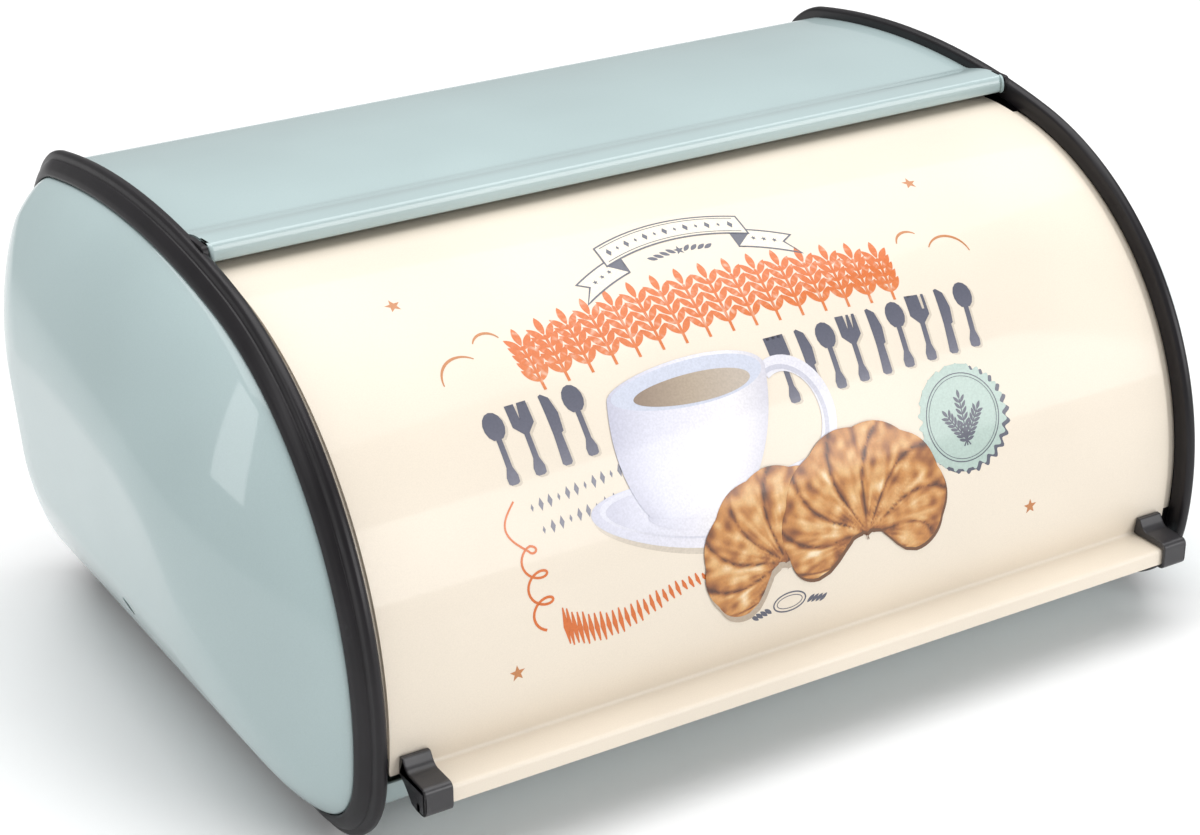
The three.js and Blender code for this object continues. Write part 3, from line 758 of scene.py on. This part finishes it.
def make_screw(name, axis, place, base, sign, length):
    profile = rounded(pan_head(base, sign, base - sign * length), 0.5)
    screw = piece(f"{name}_pan", turned(profile, axis, place, 40), "steel", [name])
    head = [p + (base + sign * HEAD_H if k == "xuw".index(axis) else 0) for k, p in enumerate(place)]
    carve(screw, *cross(axis, head, -sign * 1.1))


def make_screws():
    under = UNDERSIDE - GAP
    out = BACK_FACE + GAP
    for side, sign in SIDES.items():
        x = sign * (CREST_X - 7)
        for row, u in zip(("front", "rear"), SCREW_US):
            make_screw(f"{side}_base_screw_{row}", "w", (x, u, 0), under, -1, 5.4)
        for row, w in zip(("lower", "upper"), SCREW_WS):
            make_screw(f"{side}_back_screw_{row}", "u", (x, 0, w), out, 1, 6.4)


def make_pivot(side):
    """The bolt that the door turns on, with its bush, washer and nut."""
    head = BOSS_END - GAP
    top = head - 1.9
    profile = [(8, 0), (8, PIVOT_R), (head, PIVOT_R), (head, 2.7), (head - 1.2, 2.6), (top, 1.6), (top, 0)]
    bolt = end_piece(side, "pivot_bolt", turned(rounded(profile, 0.5)), "steel", "pivot_screw")
    carve(bolt, *[placed(part, side) for part in cross("x", (top, 0, 0), 1.0, 0.42, 1.2)])
    inner, outer = WEB[1] + 0.2, CHEEK_X[0] - 0.2
    end = CHEEK_X[1] + GAP
    profile = [
        (inner, RING_BORE_R), (inner, BUSH_FLANGE_R), (outer, BUSH_FLANGE_R), (outer, BUSH_R),
        (end, BUSH_R), (end, RING_BORE_R), (inner, RING_BORE_R),
    ]
    end_piece(side, "pivot_bearing", turned(rounded(profile, 0.25, 3)), "nylon", "pivot_bush")
    x = CHEEK_X[1] + 2 * GAP
    end = x + WASHER
    profile = [(x, RING_BORE_R), (x, WASHER_R), (end, WASHER_R), (end, RING_BORE_R), (x, RING_BORE_R)]
    washer = turned(rounded(profile, 0.2, 3))
    end_piece(side, "pivot_washer_plain", washer, "steel", "pivot_washer")
    x = end + GAP
    hexagon = prism(arc((0, 0), NUT_R, 0, 5 / 3 * pi, 5), x, x + NUT_HEIGHT)
    nut = end_piece(side, "pivot_nut_hex", hexagon, "steel", "pivot_nut", bevel=0.3)
    carve(nut, placed(turned([(x - 1, 0), (x - 1, NUT_BORE_R), (x + 4, NUT_BORE_R), (x + 4, 0)]), side))


def make_feet():
    under = UNDERSIDE - GAP
    profile = rounded([
        (TABLE, 0), (TABLE, 3.6), (TABLE + 0.5, 4.0), (TABLE + 0.5, 4.6), (TABLE, 5.0), (TABLE, 6.6),
        (TABLE + 1.0, 7.2), (under - 0.6, 6.6), (under, 6.0), (under, 2.6), (under + 1.4, 2.6),
        (under + 1.4, 3.5), (under + 3.4, 1.8), (under + 3.6, 0),
    ], 0.45)
    for side in SIDES:
        for row in ("front", "rear"):
            low, high = corners(f"{side}_foot_{row}")
            place = ((low.x + high.x) / 2, (low.y + high.y) / 2, 0)
            shape = turned(profile, "w", place)
            piece(f"{side}_rubber_foot_{row}", shape, "rubber", [f"{side}_foot_{row}"])


def make_rivets():
    for number in (1, 2, 3):
        name = f"seam_rivet_{number}"
        low, high = corners(name)
        start, end = low.y, high.y
        out = BACK_FACE + GAP
        inside = BACK_FACE - 2 * SHEET - 2 * GAP
        profile = rounded([
            (start, 0), (start, 1.7), (inside - 0.5, 2.8), (inside, 2.9), (inside, 1.5), (out, 1.5),
            (out, 3.0), (out + 0.5, 2.8), (end, 1.6), (end, 1.0), (end - 0.3, 0.9), (end - 0.4, 0),
        ], 0.35)
        place = ((low.x + high.x) / 2, 0, (low.z + high.z) / 2)
        piece(f"{name}_head", turned(profile, "u", place, 40), "steel", [name])


# ---------------- printed design on the door
# Drawn flat, in millimetres: a runs along the door and b up it, from the line at PRINT_ANGLE.

PRINT_ANGLE = radians(140)
ORANGE = (0.62, 0.135, 0.012)
TAN = (0.50, 0.19, 0.055)
SALMON = (0.66, 0.23, 0.085)
SLATE = (0.085, 0.09, 0.125)
PALE_SLATE = (0.16, 0.16, 0.205)
PAPER = (0.80, 0.73, 0.60)
MINT = (0.42, 0.53, 0.48)
SHADOW = (0.60, 0.53, 0.44)
INK_LIFT = 0.03
INK_DEPTH = 0.02


def ink(name, shapes, layer=0, cell=None):
    """One printed layer. Each shape is (outline, colour or colour function); cell divides it."""
    made = bmesh.new()
    tag = made.faces.layers.int.new("shape")
    for number, (points, _) in enumerate(shapes):
        face = made.faces.new([made.verts.new((a, b, 0)) for a, b in points])
        face[tag] = number
    bmesh.ops.triangulate(made, faces=made.faces[:])
    divide(made, 1, cell or 2.5)
    if cell:
        divide(made, 0, cell)
    mesh = bpy.data.meshes.new(name)
    shape_of = [face[tag] for face in made.faces]
    made.to_mesh(mesh)
    made.free()
    store = mesh.color_attributes.new("ink", "FLOAT_COLOR", "CORNER")
    for polygon, number in zip(mesh.polygons, shape_of):
        colour = shapes[number][1]
        for loop in polygon.loop_indices:
            a, b, _ = mesh.vertices[mesh.loops[loop].vertex_index].co
            store.data[loop].color = (*(colour(a, b) if callable(colour) else colour), 1)
    r = DOOR_R + INK_LIFT * (1 + layer)
    for vertex in mesh.vertices:
        a, b, _ = vertex.co
        angle = PRINT_ANGLE - b / DOOR_R
        vertex.co = (Vector((a, r * cos(angle), r * sin(angle))) + PIVOT) * MM
    mesh.flip_normals()
    mesh.materials.append(INK)
    obj = added(name, mesh)
    film = obj.modifiers.new("film", "SOLIDIFY")
    film.thickness = INK_DEPTH * MM
    film.offset = 1
    obj.data = settled(obj)
    obj.modifiers.remove(film)
    shade(obj, 30)
    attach(obj, "door")


def divide(made, axis, step):
    """Cuts a flat mesh into strips across one axis, so that it can bend or take a gradient."""
    normal = Vector((1, 0, 0)) if axis == 0 else Vector((0, 1, 0))
    low = min(v.co[axis] for v in made.verts)
    high = max(v.co[axis] for v in made.verts)
    for k in range(1, int((high - low) / step) + 1):
        everything = made.verts[:] + made.edges[:] + made.faces[:]
        at = normal * (low + k * step)
        bmesh.ops.bisect_plane(made, geom=everything, dist=1e-5, plane_co=at, plane_no=normal)


def moved(points, place, turn=0.0):
    c, s = cos(turn), sin(turn)
    return [(place[0] + a * c - b * s, place[1] + a * s + b * c) for a, b in points]


def oval(centre, ra, rb, steps=48):
    angles = [2 * pi * k / steps for k in range(steps)]
    return moved([(ra * cos(t), rb * sin(t)) for t in angles], centre)


def mirrored(half):
    """An outline whose other half is the mirror image of the given one."""
    return [*half, *[(-a, b) for a, b in half[::-1]]]


def stroke(path, width, colour):
    """Pieces of a line along a path; width is a number or a function of the share along it."""
    wide = width if callable(width) else (lambda share: width)
    count = len(path) - 1
    sides = []
    for sign in (1, -1):
        sides.append([shifted(path, sign * wide(i / count) / 2)[i] for i in range(count + 1)])
    left, right = sides
    return [([left[i], left[i + 1], right[i + 1], right[i]], colour) for i in range(count)]


def band(path, width):
    """The outline of one smooth band along an open path."""
    return shifted(path, width / 2) + shifted(path, -width / 2)[::-1]


def looped(path):
    return path + path[:2]


def shares(count):
    return [k / count for k in range(count + 1)]


def blend(stops, share):
    share = min(max(share, 0.0), 1.0) * (len(stops) - 1)
    k = min(int(share), len(stops) - 2)
    return tuple(a + (b - a) * (share - k) for a, b in zip(stops[k], stops[k + 1]))


def orange(a, b):
    """Orange that fades to salmon down the door, rubbed through in small flecks."""
    fleck = max(0.0, noise.noise((a * 0.8, b * 0.8, 4.0)) - 0.2)
    fade = blend([SALMON, ORANGE, ORANGE], (b - 6) / 30)
    return tuple(c + (paper - c) * fleck for c, paper in zip(fade, PAPER))


def slate(a, b):
    return blend([PALE_SLATE, SLATE], (b + 14) / 26)


def star(centre, r, turn=0.0):
    """Five points, with the notches between them nearer the middle."""
    return [polar(centre, r * (0.42 if k % 2 else 1), turn + pi / 2 + k * pi / 5) for k in range(10)]


def diamond(place, half, height):
    return moved([(-half, 0), (0, -height), (half, 0), (0, height)], place)


def leaf(place, turn, length, width):
    """A pointed oval from its foot at place."""
    side = [(width / 2 * sin(pi * share) ** 0.8, length * share) for share in shares(8)[1:-1]]
    points = [(0, 0), *side, (0, length), *[(-a, b) for a, b in side[::-1]]]
    return moved(points, place, turn)


def wheat_ear(place, turn, height, colour, pairs=5, grain=6.2):
    """An upright ear of wheat: a short stalk, paired grains and one on top."""
    stalk = height * 0.13
    shapes = stroke(moved([(0, 0), (0, stalk), (0, height - grain)], place, turn), grain * 0.15, colour)
    pitch = (height - stalk - grain * 0.8) / pairs
    for k in range(pairs):
        for sign in (-1, 1):
            foot = moved([(sign * grain * 0.05, stalk + k * pitch)], place, turn)[0]
            shapes.append((leaf(foot, turn - sign * 0.70, grain, grain * 0.35), colour))
    top = moved([(0, height - grain)], place, turn)[0]
    shapes.append((leaf(top, turn, grain, grain * 0.38), colour))
    return shapes


def print_wheat():
    """An arched row of wheat ears."""
    shapes = []
    for step in shares(15):
        share = step * 2 - 1
        foot = (-10.5 + 60 * share, 13.5 - 3.0 * share ** 2)
        height = 20.5 + 4.0 * (1 - share ** 2)
        shapes += wheat_ear(foot, -0.08 * share, height, orange)
    ink("print_wheat", shapes, cell=2.0)


def spoon(length):
    angles = [pi * (share * 1.7 - 0.35) for share in shares(12)]
    bowl = [(2.5 * cos(t), length - 4.2 + 4.2 * sin(t)) for t in angles]
    handle = [(0.7, 0), (1.3, 0.5), (1.4, 2.4), (0.7, 5), (0.65, length - 8)]
    return [*handle, *bowl, *[(-a, b) for a, b in handle[::-1]]]


def fork(length):
    half = [
        (0.7, 0), (1.3, 0.5), (1.4, 2.4), (0.7, 5), (0.65, length - 9), (2.6, length - 6.4),
        (2.6, length), (1.9, length), (1.75, length - 4.6), (1.15, length - 4.6), (1.05, length),
        (0.4, length), (0.3, length - 4.6),
    ]
    return mirrored(half)


def knife(length):
    return [
        (-0.6, 0), (0.8, 0), (1.3, 0.7), (1.1, 9), (1.7, 9.4), (2.1, length * 0.7),
        (1.3, length - 1.5), (-0.2, length), (-0.9, length - 0.4), (-0.9, 9), (-1.2, 0.7),
    ]


def print_cutlery():
    """Two rows of cutlery under the wheat, each with a soft shadow."""
    kinds = (spoon, fork, knife)
    places = [((-89 + 8.6 * k, -12.8 + 0.7 * k), 0.04, 21.0, k) for k in range(4)]
    places += [((4.5 + 8.3 * k, -11.5 + 0.25 * k), -0.015 * k, 20.5, k + 1) for k in range(9)]
    shadows, shapes = [], []
    for place, turn, length, kind in places:
        shape = [(1.3 * a, b) for a, b in kinds[kind % 3](length)]
        shadows.append((moved(shape, (place[0] + 0.7, place[1] - 0.6), turn), SHADOW))
        shapes.append((moved(shape, place, turn), slate))
    ink("print_cutlery_shadow", shadows)
    ink("print_cutlery", shapes, 1)


RIBBON_MIDDLE = -9.0


def ribbon_point(reach, rise):
    """A point on the arched ribbon, at a reach along it from its middle."""
    return RIBBON_MIDDLE + reach, 52.5 + rise - 0.0075 * reach ** 2


def ribbon_line(reaches, rise):
    return [ribbon_point(reach, rise) for reach in reaches]


def print_ribbon():
    """An arched ribbon with two folded tails, a spray of leaves below it and dots on it."""
    tails, lines = [], []
    for sign in (-1, 1):
        reaches = [sign * (19 + 18 * share) for share in shares(10)]
        high = ribbon_line(reaches, -2.2)
        edge = ribbon_line(reaches, -9.6) + [ribbon_point(sign * 33.5, -5.9)] + high[::-1]
        tails.append((edge, PAPER))
        lines += stroke(looped(edge), 0.5, SLATE)
        fold = ((19, -9.6), (24.5, -3.9), (19, -3.9))
        lines.append(([ribbon_point(sign * reach, rise) for reach, rise in fold], SLATE))
        for k in range(3):
            lines.append((star(ribbon_point(sign * (25 + 3 * k), -5.8), 0.9), SLATE))
    ink("print_ribbon_tails", tails)
    ink("print_ribbon_tail_lines", lines, 1)
    reaches = [24.5 * (2 * share - 1) for share in shares(32)]
    edge = ribbon_line(reaches, -3.9) + ribbon_line(reaches, 3.9)[::-1]
    ink("print_ribbon", [(edge, PAPER)], 2)
    lines = stroke(looped(edge), 0.5, SLATE)
    for rise in (-2.9, 2.9):
        lines += stroke(ribbon_line(reaches[1:-1], rise), 0.25, SLATE)
    for k in range(13):
        height = 1.5 if k % 2 == 0 else 0.8
        lines.append((diamond(ribbon_point(3.5 * (k - 6), 0), height * 0.6, height), SLATE))
    ink("print_ribbon_lines", lines, 3)
    spray = [(star((RIBBON_MIDDLE, 44.0), 1.8), SLATE)]
    for sign in (-1, 1):
        for k in range(4):
            foot = (RIBBON_MIDDLE + sign * (1.4 + 2.2 * k), 43.2 - 0.25 * k)
            spray.append((leaf(foot, -sign * (0.9 + 0.1 * k), 3.4, 1.4), SLATE))
    ink("print_spray", spray)


def swirl(share):
    """A falling line that makes three small loops near its end."""
    loop = max(0.0, share - 0.38) / 0.62
    turn = 6 * pi * loop
    reach = 3.4 * min(1.0, 6 * loop)
    bow = 5 * sin(pi * min(1, share * 2.6)) * (1 - loop)
    a = -91 + 3.0 * share + reach * sin(turn) - bow
    return a, -17 - 37 * share + reach * (1 - cos(turn)) * 0.75


STARS = [((-100.5, 48), 0.1), ((78.4, 49), -0.1), ((81.6, -62), 0.0), ((-98, -64), 0.05)]
CLOUD_CURVES = [
    (-91.5, 19, 7.2, 0.28, 1.02), (-81, 27, 4.6, 0.15, 0.85),
    (75.5, 19.5, 7.4, 0.02, 0.78), (64.5, 26.5, 4.8, 0.25, 0.9),
]


def print_orange_marks():
    """Stars, cloud curves, a looped line and a wavy row of brush strokes."""
    shapes = []
    for place, turn in STARS:
        shapes.append((star(place, 2.5, turn), TAN))
    for a, b, r, start, end in CLOUD_CURVES:
        bow = arc((a, b), r, pi * start, pi * end, 20)
        shapes += stroke(bow, lambda share: 0.35 + 0.5 * sin(pi * share), TAN)
    shapes += stroke([swirl(share) for share in shares(110)], lambda share: 0.55 + 0.25 * share, ORANGE)
    for k, share in enumerate(shares(25)):
        a = -82 + 50 * share ** 1.15
        b = -54.5 - 3.0 * sin(5.0 * share) - 1.0 * share
        tall = 8.5 * (1 - share) ** 1.2 + 2.6 + 0.7 * sin(2.1 * k)
        path = [(a - 0.6, b + tall / 2), (a, b), (a + 1.0, b - tall / 2)]
        shapes += stroke(path, lambda along: 0.4 + (1.3 - 0.5 * share) * sin(pi * along), ORANGE)
    ink("print_orange_marks", shapes)


OVAL_PLACE = (-7.5, -68.5)


def print_slate_marks():
    """Two slanting rows of small diamonds and a plain oval between two sprigs."""
    marks = []
    for row in range(2):
        for k in range(12):
            place = (-86 + 2.9 * k + 2.0 * row, -20.0 - 6.6 * row + 0.35 * k)
            tall = 1.9 if k % 3 else 1.1
            marks.append((diamond(place, tall * 0.42, tall), PALE_SLATE))
    for ra, rb, width in ((5.6, 3.0, 0.45), (4.4, 2.0, 0.25)):
        marks += stroke(looped(oval(OVAL_PLACE, ra, rb, 40)), width, SLATE)
    for sign in (-1, 1):
        for k in range(4):
            foot = (OVAL_PLACE[0] + sign * (6.2 + 1.5 * k), OVAL_PLACE[1] - 2.1 - 0.3 * k)
            marks.append((leaf(foot, -sign * 0.9, 3.4, 1.3), SLATE))
    ink("print_slate_marks", marks)


BADGE = (59.6, -28.7)
BADGE_R = 15.4


def print_badge():
    """A mint seal with a toothed edge, a shadow, fine rings and three ears of wheat."""
    teeth = 26
    turns = [2 * pi * share for share in shares(teeth * 8)[:-1]]
    radii = [BADGE_R + 0.9 * cos(teeth * t) for t in turns]
    edge = [polar(BADGE, r, t) for t, r in zip(turns, radii)]
    ink("print_badge_shadow", [([(a + 1.1, b - 1.0) for a, b in edge], SLATE)])
    ink("print_badge", [(edge, MINT)], 1)
    lines = []
    for r, width in ((13.2, 0.3), (12.3, 0.18)):
        lines += stroke(looped(oval(BADGE, r, r, 72)), width, SLATE)
    for turn in (-0.6, 0.0, 0.6):
        foot = (BADGE[0] - 2.0 * turn, BADGE[1] - 8.5)
        lines += wheat_ear(foot, -turn, 17.0 - 4 * abs(turn), SLATE, 7, 2.9)
    ink("print_badge_lines", lines, 2)


CUP_PLACE = (-28.0, 2.0)
CUP_SLANT = 0.27
CUP_TILT = (0.03, 0.0057)
CUP_DEPTH = 37.0
CUP_RIM = (26.3, 7.6)
CUP_BASE_R = 12.5
CHINA = [(0.50, 0.50, 0.60), (0.66, 0.66, 0.75), (0.73, 0.72, 0.79), (0.80, 0.78, 0.80), (0.58, 0.57, 0.64)]


def in_cup(points):
    """Points of the upright cup, leaned as it stands in the picture."""
    made = []
    for a, b in points:
        tilt = CUP_TILT[0] - CUP_TILT[1] * b
        made.append((CUP_PLACE[0] + a + CUP_SLANT * b, CUP_PLACE[1] + b - a * tilt))
    return made


def cup_space(a, b):
    """The upright cup's own place for a point of the picture."""
    down = b - CUP_PLACE[1]
    across = a - CUP_PLACE[0] - CUP_SLANT * down
    return across, down + across * (CUP_TILT[0] - CUP_TILT[1] * down)


def cup_width(b):
    share = min(max(-b / CUP_DEPTH, 0), 1)
    return CUP_BASE_R + (CUP_RIM[0] - CUP_BASE_R) * (1 - share ** 2.2) ** 0.8


def china_over(reach):
    """White china, shaded from side to side over a half width."""
    def colour(a, b):
        return blend(CHINA, 0.5 + cup_space(a, b)[0] / (2 * reach))
    return colour


def cup_side(a, b):
    across, down = cup_space(a, b)
    return blend(CHINA, 0.5 + across / (2.1 * cup_width(down)))


def coffee(a, b):
    stops = [(0.28, 0.21, 0.16), (0.42, 0.34, 0.26), (0.50, 0.43, 0.36)]
    return blend(stops, 0.5 + cup_space(a, b)[0] / 34)


def print_cup():
    """A cup of coffee on its saucer."""
    ra, rb = CUP_RIM
    saucer = oval((-1.5, -CUP_DEPTH + 1.5), 30, 9.5, 72)
    ink("print_saucer_shadow", [(in_cup(moved(saucer, (1.0, -1.6))), SHADOW)])
    ink("print_saucer", [(in_cup(saucer), china_over(34))], 1, 2.5)
    rim = oval((-1.5, -CUP_DEPTH + 2.6), 27.5, 8.0, 72)
    ink("print_saucer_well", [(in_cup(rim), (0.62, 0.62, 0.70))], 2)
    well = oval((-1.5, -CUP_DEPTH + 2.2), 25.5, 7.0, 72)
    ink("print_saucer_floor", [(in_cup(well), china_over(26))], 3, 2.5)
    bow = arc((0, 0), 1.0, radians(115), radians(-80), 26)
    handle = [(2.0 + 12.0 * a, -14.5 + 15.5 * b) for a, b in bow] + [(-4.5, -31)]
    shade_line = [(a - 1.1, b - 0.9) for a, b in handle]
    ink("print_cup_handle", [(band(handle, 5.0), (0.72, 0.71, 0.77))], 3)
    ink("print_cup_handle_shade", [(band(shade_line, 1.4), (0.54, 0.54, 0.62))], 4)
    foot = oval((0, -CUP_DEPTH + 0.4), CUP_BASE_R + 1.4, 3.6, 48)
    ink("print_cup_foot", [(in_cup(foot), china_over(15))], 5, 2.5)
    drops = [-CUP_DEPTH * share for share in shares(20)]
    arch = [(ra * cos(pi * share), rb * sin(pi * share)) for share in shares(24)[1:-1]]
    sides = mirrored([(cup_width(b), b) for b in drops])
    ink("print_cup_body", [(in_cup(sides + arch[::-1]), cup_side)], 6, 2.0)
    ink("print_cup_inside", [(in_cup(oval((0, 0), ra - 1.3, rb - 1.0, 72)), (0.57, 0.60, 0.70))], 7)
    ink("print_coffee", [(in_cup(oval((1.5, -1.6), ra - 7.0, rb - 3.4, 60)), coffee)], 8, 2.5)


ROLL_FLAT = 0.95
ROLL_LOBES = 8
CRUST = [
    (0.07, 0.018, 0.004), (0.27, 0.085, 0.016), (0.52, 0.22, 0.05), (0.68, 0.40, 0.16), (0.84, 0.68, 0.46),
]


class Roll:
    """A crescent roll drawn as turns of dough round an arc."""

    def __init__(self, centre, reach, half, start, end):
        self.centre = Vector(centre)
        self.reach = reach
        self.half = half
        self.start = radians(start)
        self.sweep = radians(end - start)

    def half_width(self, share):
        """Half the roll's width: full in the middle, with a swelling for each turn of dough."""
        swell = 0.93 + 0.07 * abs(sin(pi * ROLL_LOBES * share))
        return max(0.4, self.half * sin(pi * share) ** 0.42 * swell)

    def crust(self, a, b):
        """Baked crust: pale crowns, dark creases between the turns, streaks and flakes."""
        offset = Vector((a - self.centre.x, (b - self.centre.y) / ROLL_FLAT))
        angle = atan2(offset.y, offset.x)
        if angle < -pi / 2:
            angle += 2 * pi
        share = min(max((angle - self.start) / self.sweep, 0.0), 1.0)
        side = (offset.length - self.reach) / self.half_width(share)
        turn = (share * ROLL_LOBES + 0.34 * side * side + 0.18 * side) % 1.0
        crease = min(1.0, 2.6 * sin(pi * turn))
        crown = sqrt(max(0.0, 1 - (side - 0.12) ** 2 * 0.8))
        streak = noise.noise((share * 60, side * 2.0, self.reach)) * 0.24
        flake = noise.noise((a * 0.28, b * 0.28, 9.0)) * 0.42
        light = 0.06 + 0.50 * crown * crease + 0.30 * (0.6 - turn) * crown + streak + flake
        return blend(CRUST, light)

    def edge(self, width):
        """One long side of the roll, at a part of its half width out from the arc."""
        points = []
        for share in shares(90):
            angle = self.start + self.sweep * share
            r = self.reach + width * self.half_width(share)
            points.append((self.centre.x + r * cos(angle), self.centre.y + r * sin(angle) * ROLL_FLAT))
        return points

    def outline(self, drop=0.0):
        """The roll's outline, or its shadow's, which lies lower."""
        return moved(self.edge(1) + self.edge(-0.94)[::-1], (0.4 * drop, -drop))


def print_rolls():
    """Two crescent rolls, the right-hand one in front, each with its shadow."""
    behind = Roll((-9.0, -55.5), 14.5, 16.0, -10, 228)
    front = Roll((20.0, -54.0), 16.0, 18.5, -32, 212)
    ink("print_roll_shadow", [(behind.outline(2.0), (0.42, 0.34, 0.26))], 9)
    ink("print_roll_behind", [(behind.outline(), behind.crust)], 10, 0.8)
    ink("print_roll_shade", [(front.outline(1.2), (0.13, 0.05, 0.015))], 11)
    ink("print_roll_front", [(front.outline(), front.crust)], 12, 0.8)


# ---------------- making

def make_object():
    for make in (make_top_panel, make_floor_pan, make_door):
        make()
    for side in SIDES:
        for make in (make_trim, make_cap, make_cheek, make_clip, make_bumper, make_pivot):
            make(side)
    for make in (make_screws, make_feet, make_rivets):
        make()


def make_print():
    for draw in (
        print_wheat, print_cutlery, print_ribbon, print_orange_marks,
        print_slate_marks, print_badge, print_cup, print_rolls,
    ):
        draw()


# ---------------- studio

def make_floor():
    mesh = bpy.data.meshes.new("studio_floor")
    mesh.from_pydata([(-4, -4, 0), (4, -4, 0), (4, 4, 0), (-4, 4, 0)], [], [(0, 1, 2, 3)])
    white = (0.9, 0.9, 0.9, 1)
    paper = Finish("studio_paper", {"Base Color": white, "Roughness": 0.9, "Specular IOR Level": 0.1})
    mesh.materials.append(paper.material)
    floor = added("studio_floor", mesh)


def make_light(name, place, size, power):
    """A soft light turned to the middle of the box."""
    data = bpy.data.lights.new(name, "AREA")
    data.shape = "RECTANGLE"
    data.size, data.size_y = size
    data.energy = power
    light = added(name, data)
    light.location = place
    light.rotation_euler = (Vector((0, 0, 0.07)) - Vector(place)).to_track_quat("-Z", "Y").to_euler()


def make_studio():
    world = bpy.data.worlds.new("studio")
    bpy.context.scene.world = world
    world.use_nodes = True
    sky = world.node_tree.nodes["Background"]
    sky.inputs["Color"].default_value = (1, 1, 1, 1)
    sky.inputs["Strength"].default_value = 0.37
    make_light("overhead", place=(0.2, 0.3, 1.9), size=(2.6, 2.2), power=47)
    make_light("front_left", place=(-1.31, 0.10, 0.88), size=(0.34, 1.0), power=3.6)
    make_light("front_right", place=(0.8, -1.6, 0.7), size=(1.1, 0.8), power=15)
    bpy.context.scene.view_settings.view_transform = "Standard"


CAMERA_PLACE = (-0.4095, -0.6476, 0.4229)
CAMERA_BACK = (-0.4764, -0.7674, 0.4292)
CAMERA_LENS = 80.4


def make_camera():
    data = bpy.data.cameras.new("camera")
    data.lens = CAMERA_LENS
    data.sensor_width = 36
    camera = added("camera", data)
    back = Vector(CAMERA_BACK).normalized()
    right = Vector((0, 0, 1)).cross(back).normalized()
    axes = Matrix((right, back.cross(right), back)).transposed().to_4x4()
    camera.matrix_world = Matrix.Translation(CAMERA_PLACE) @ axes
    bpy.context.scene.camera = camera


make_camera()
make_studio()
make_floor()
make_object()
make_print()
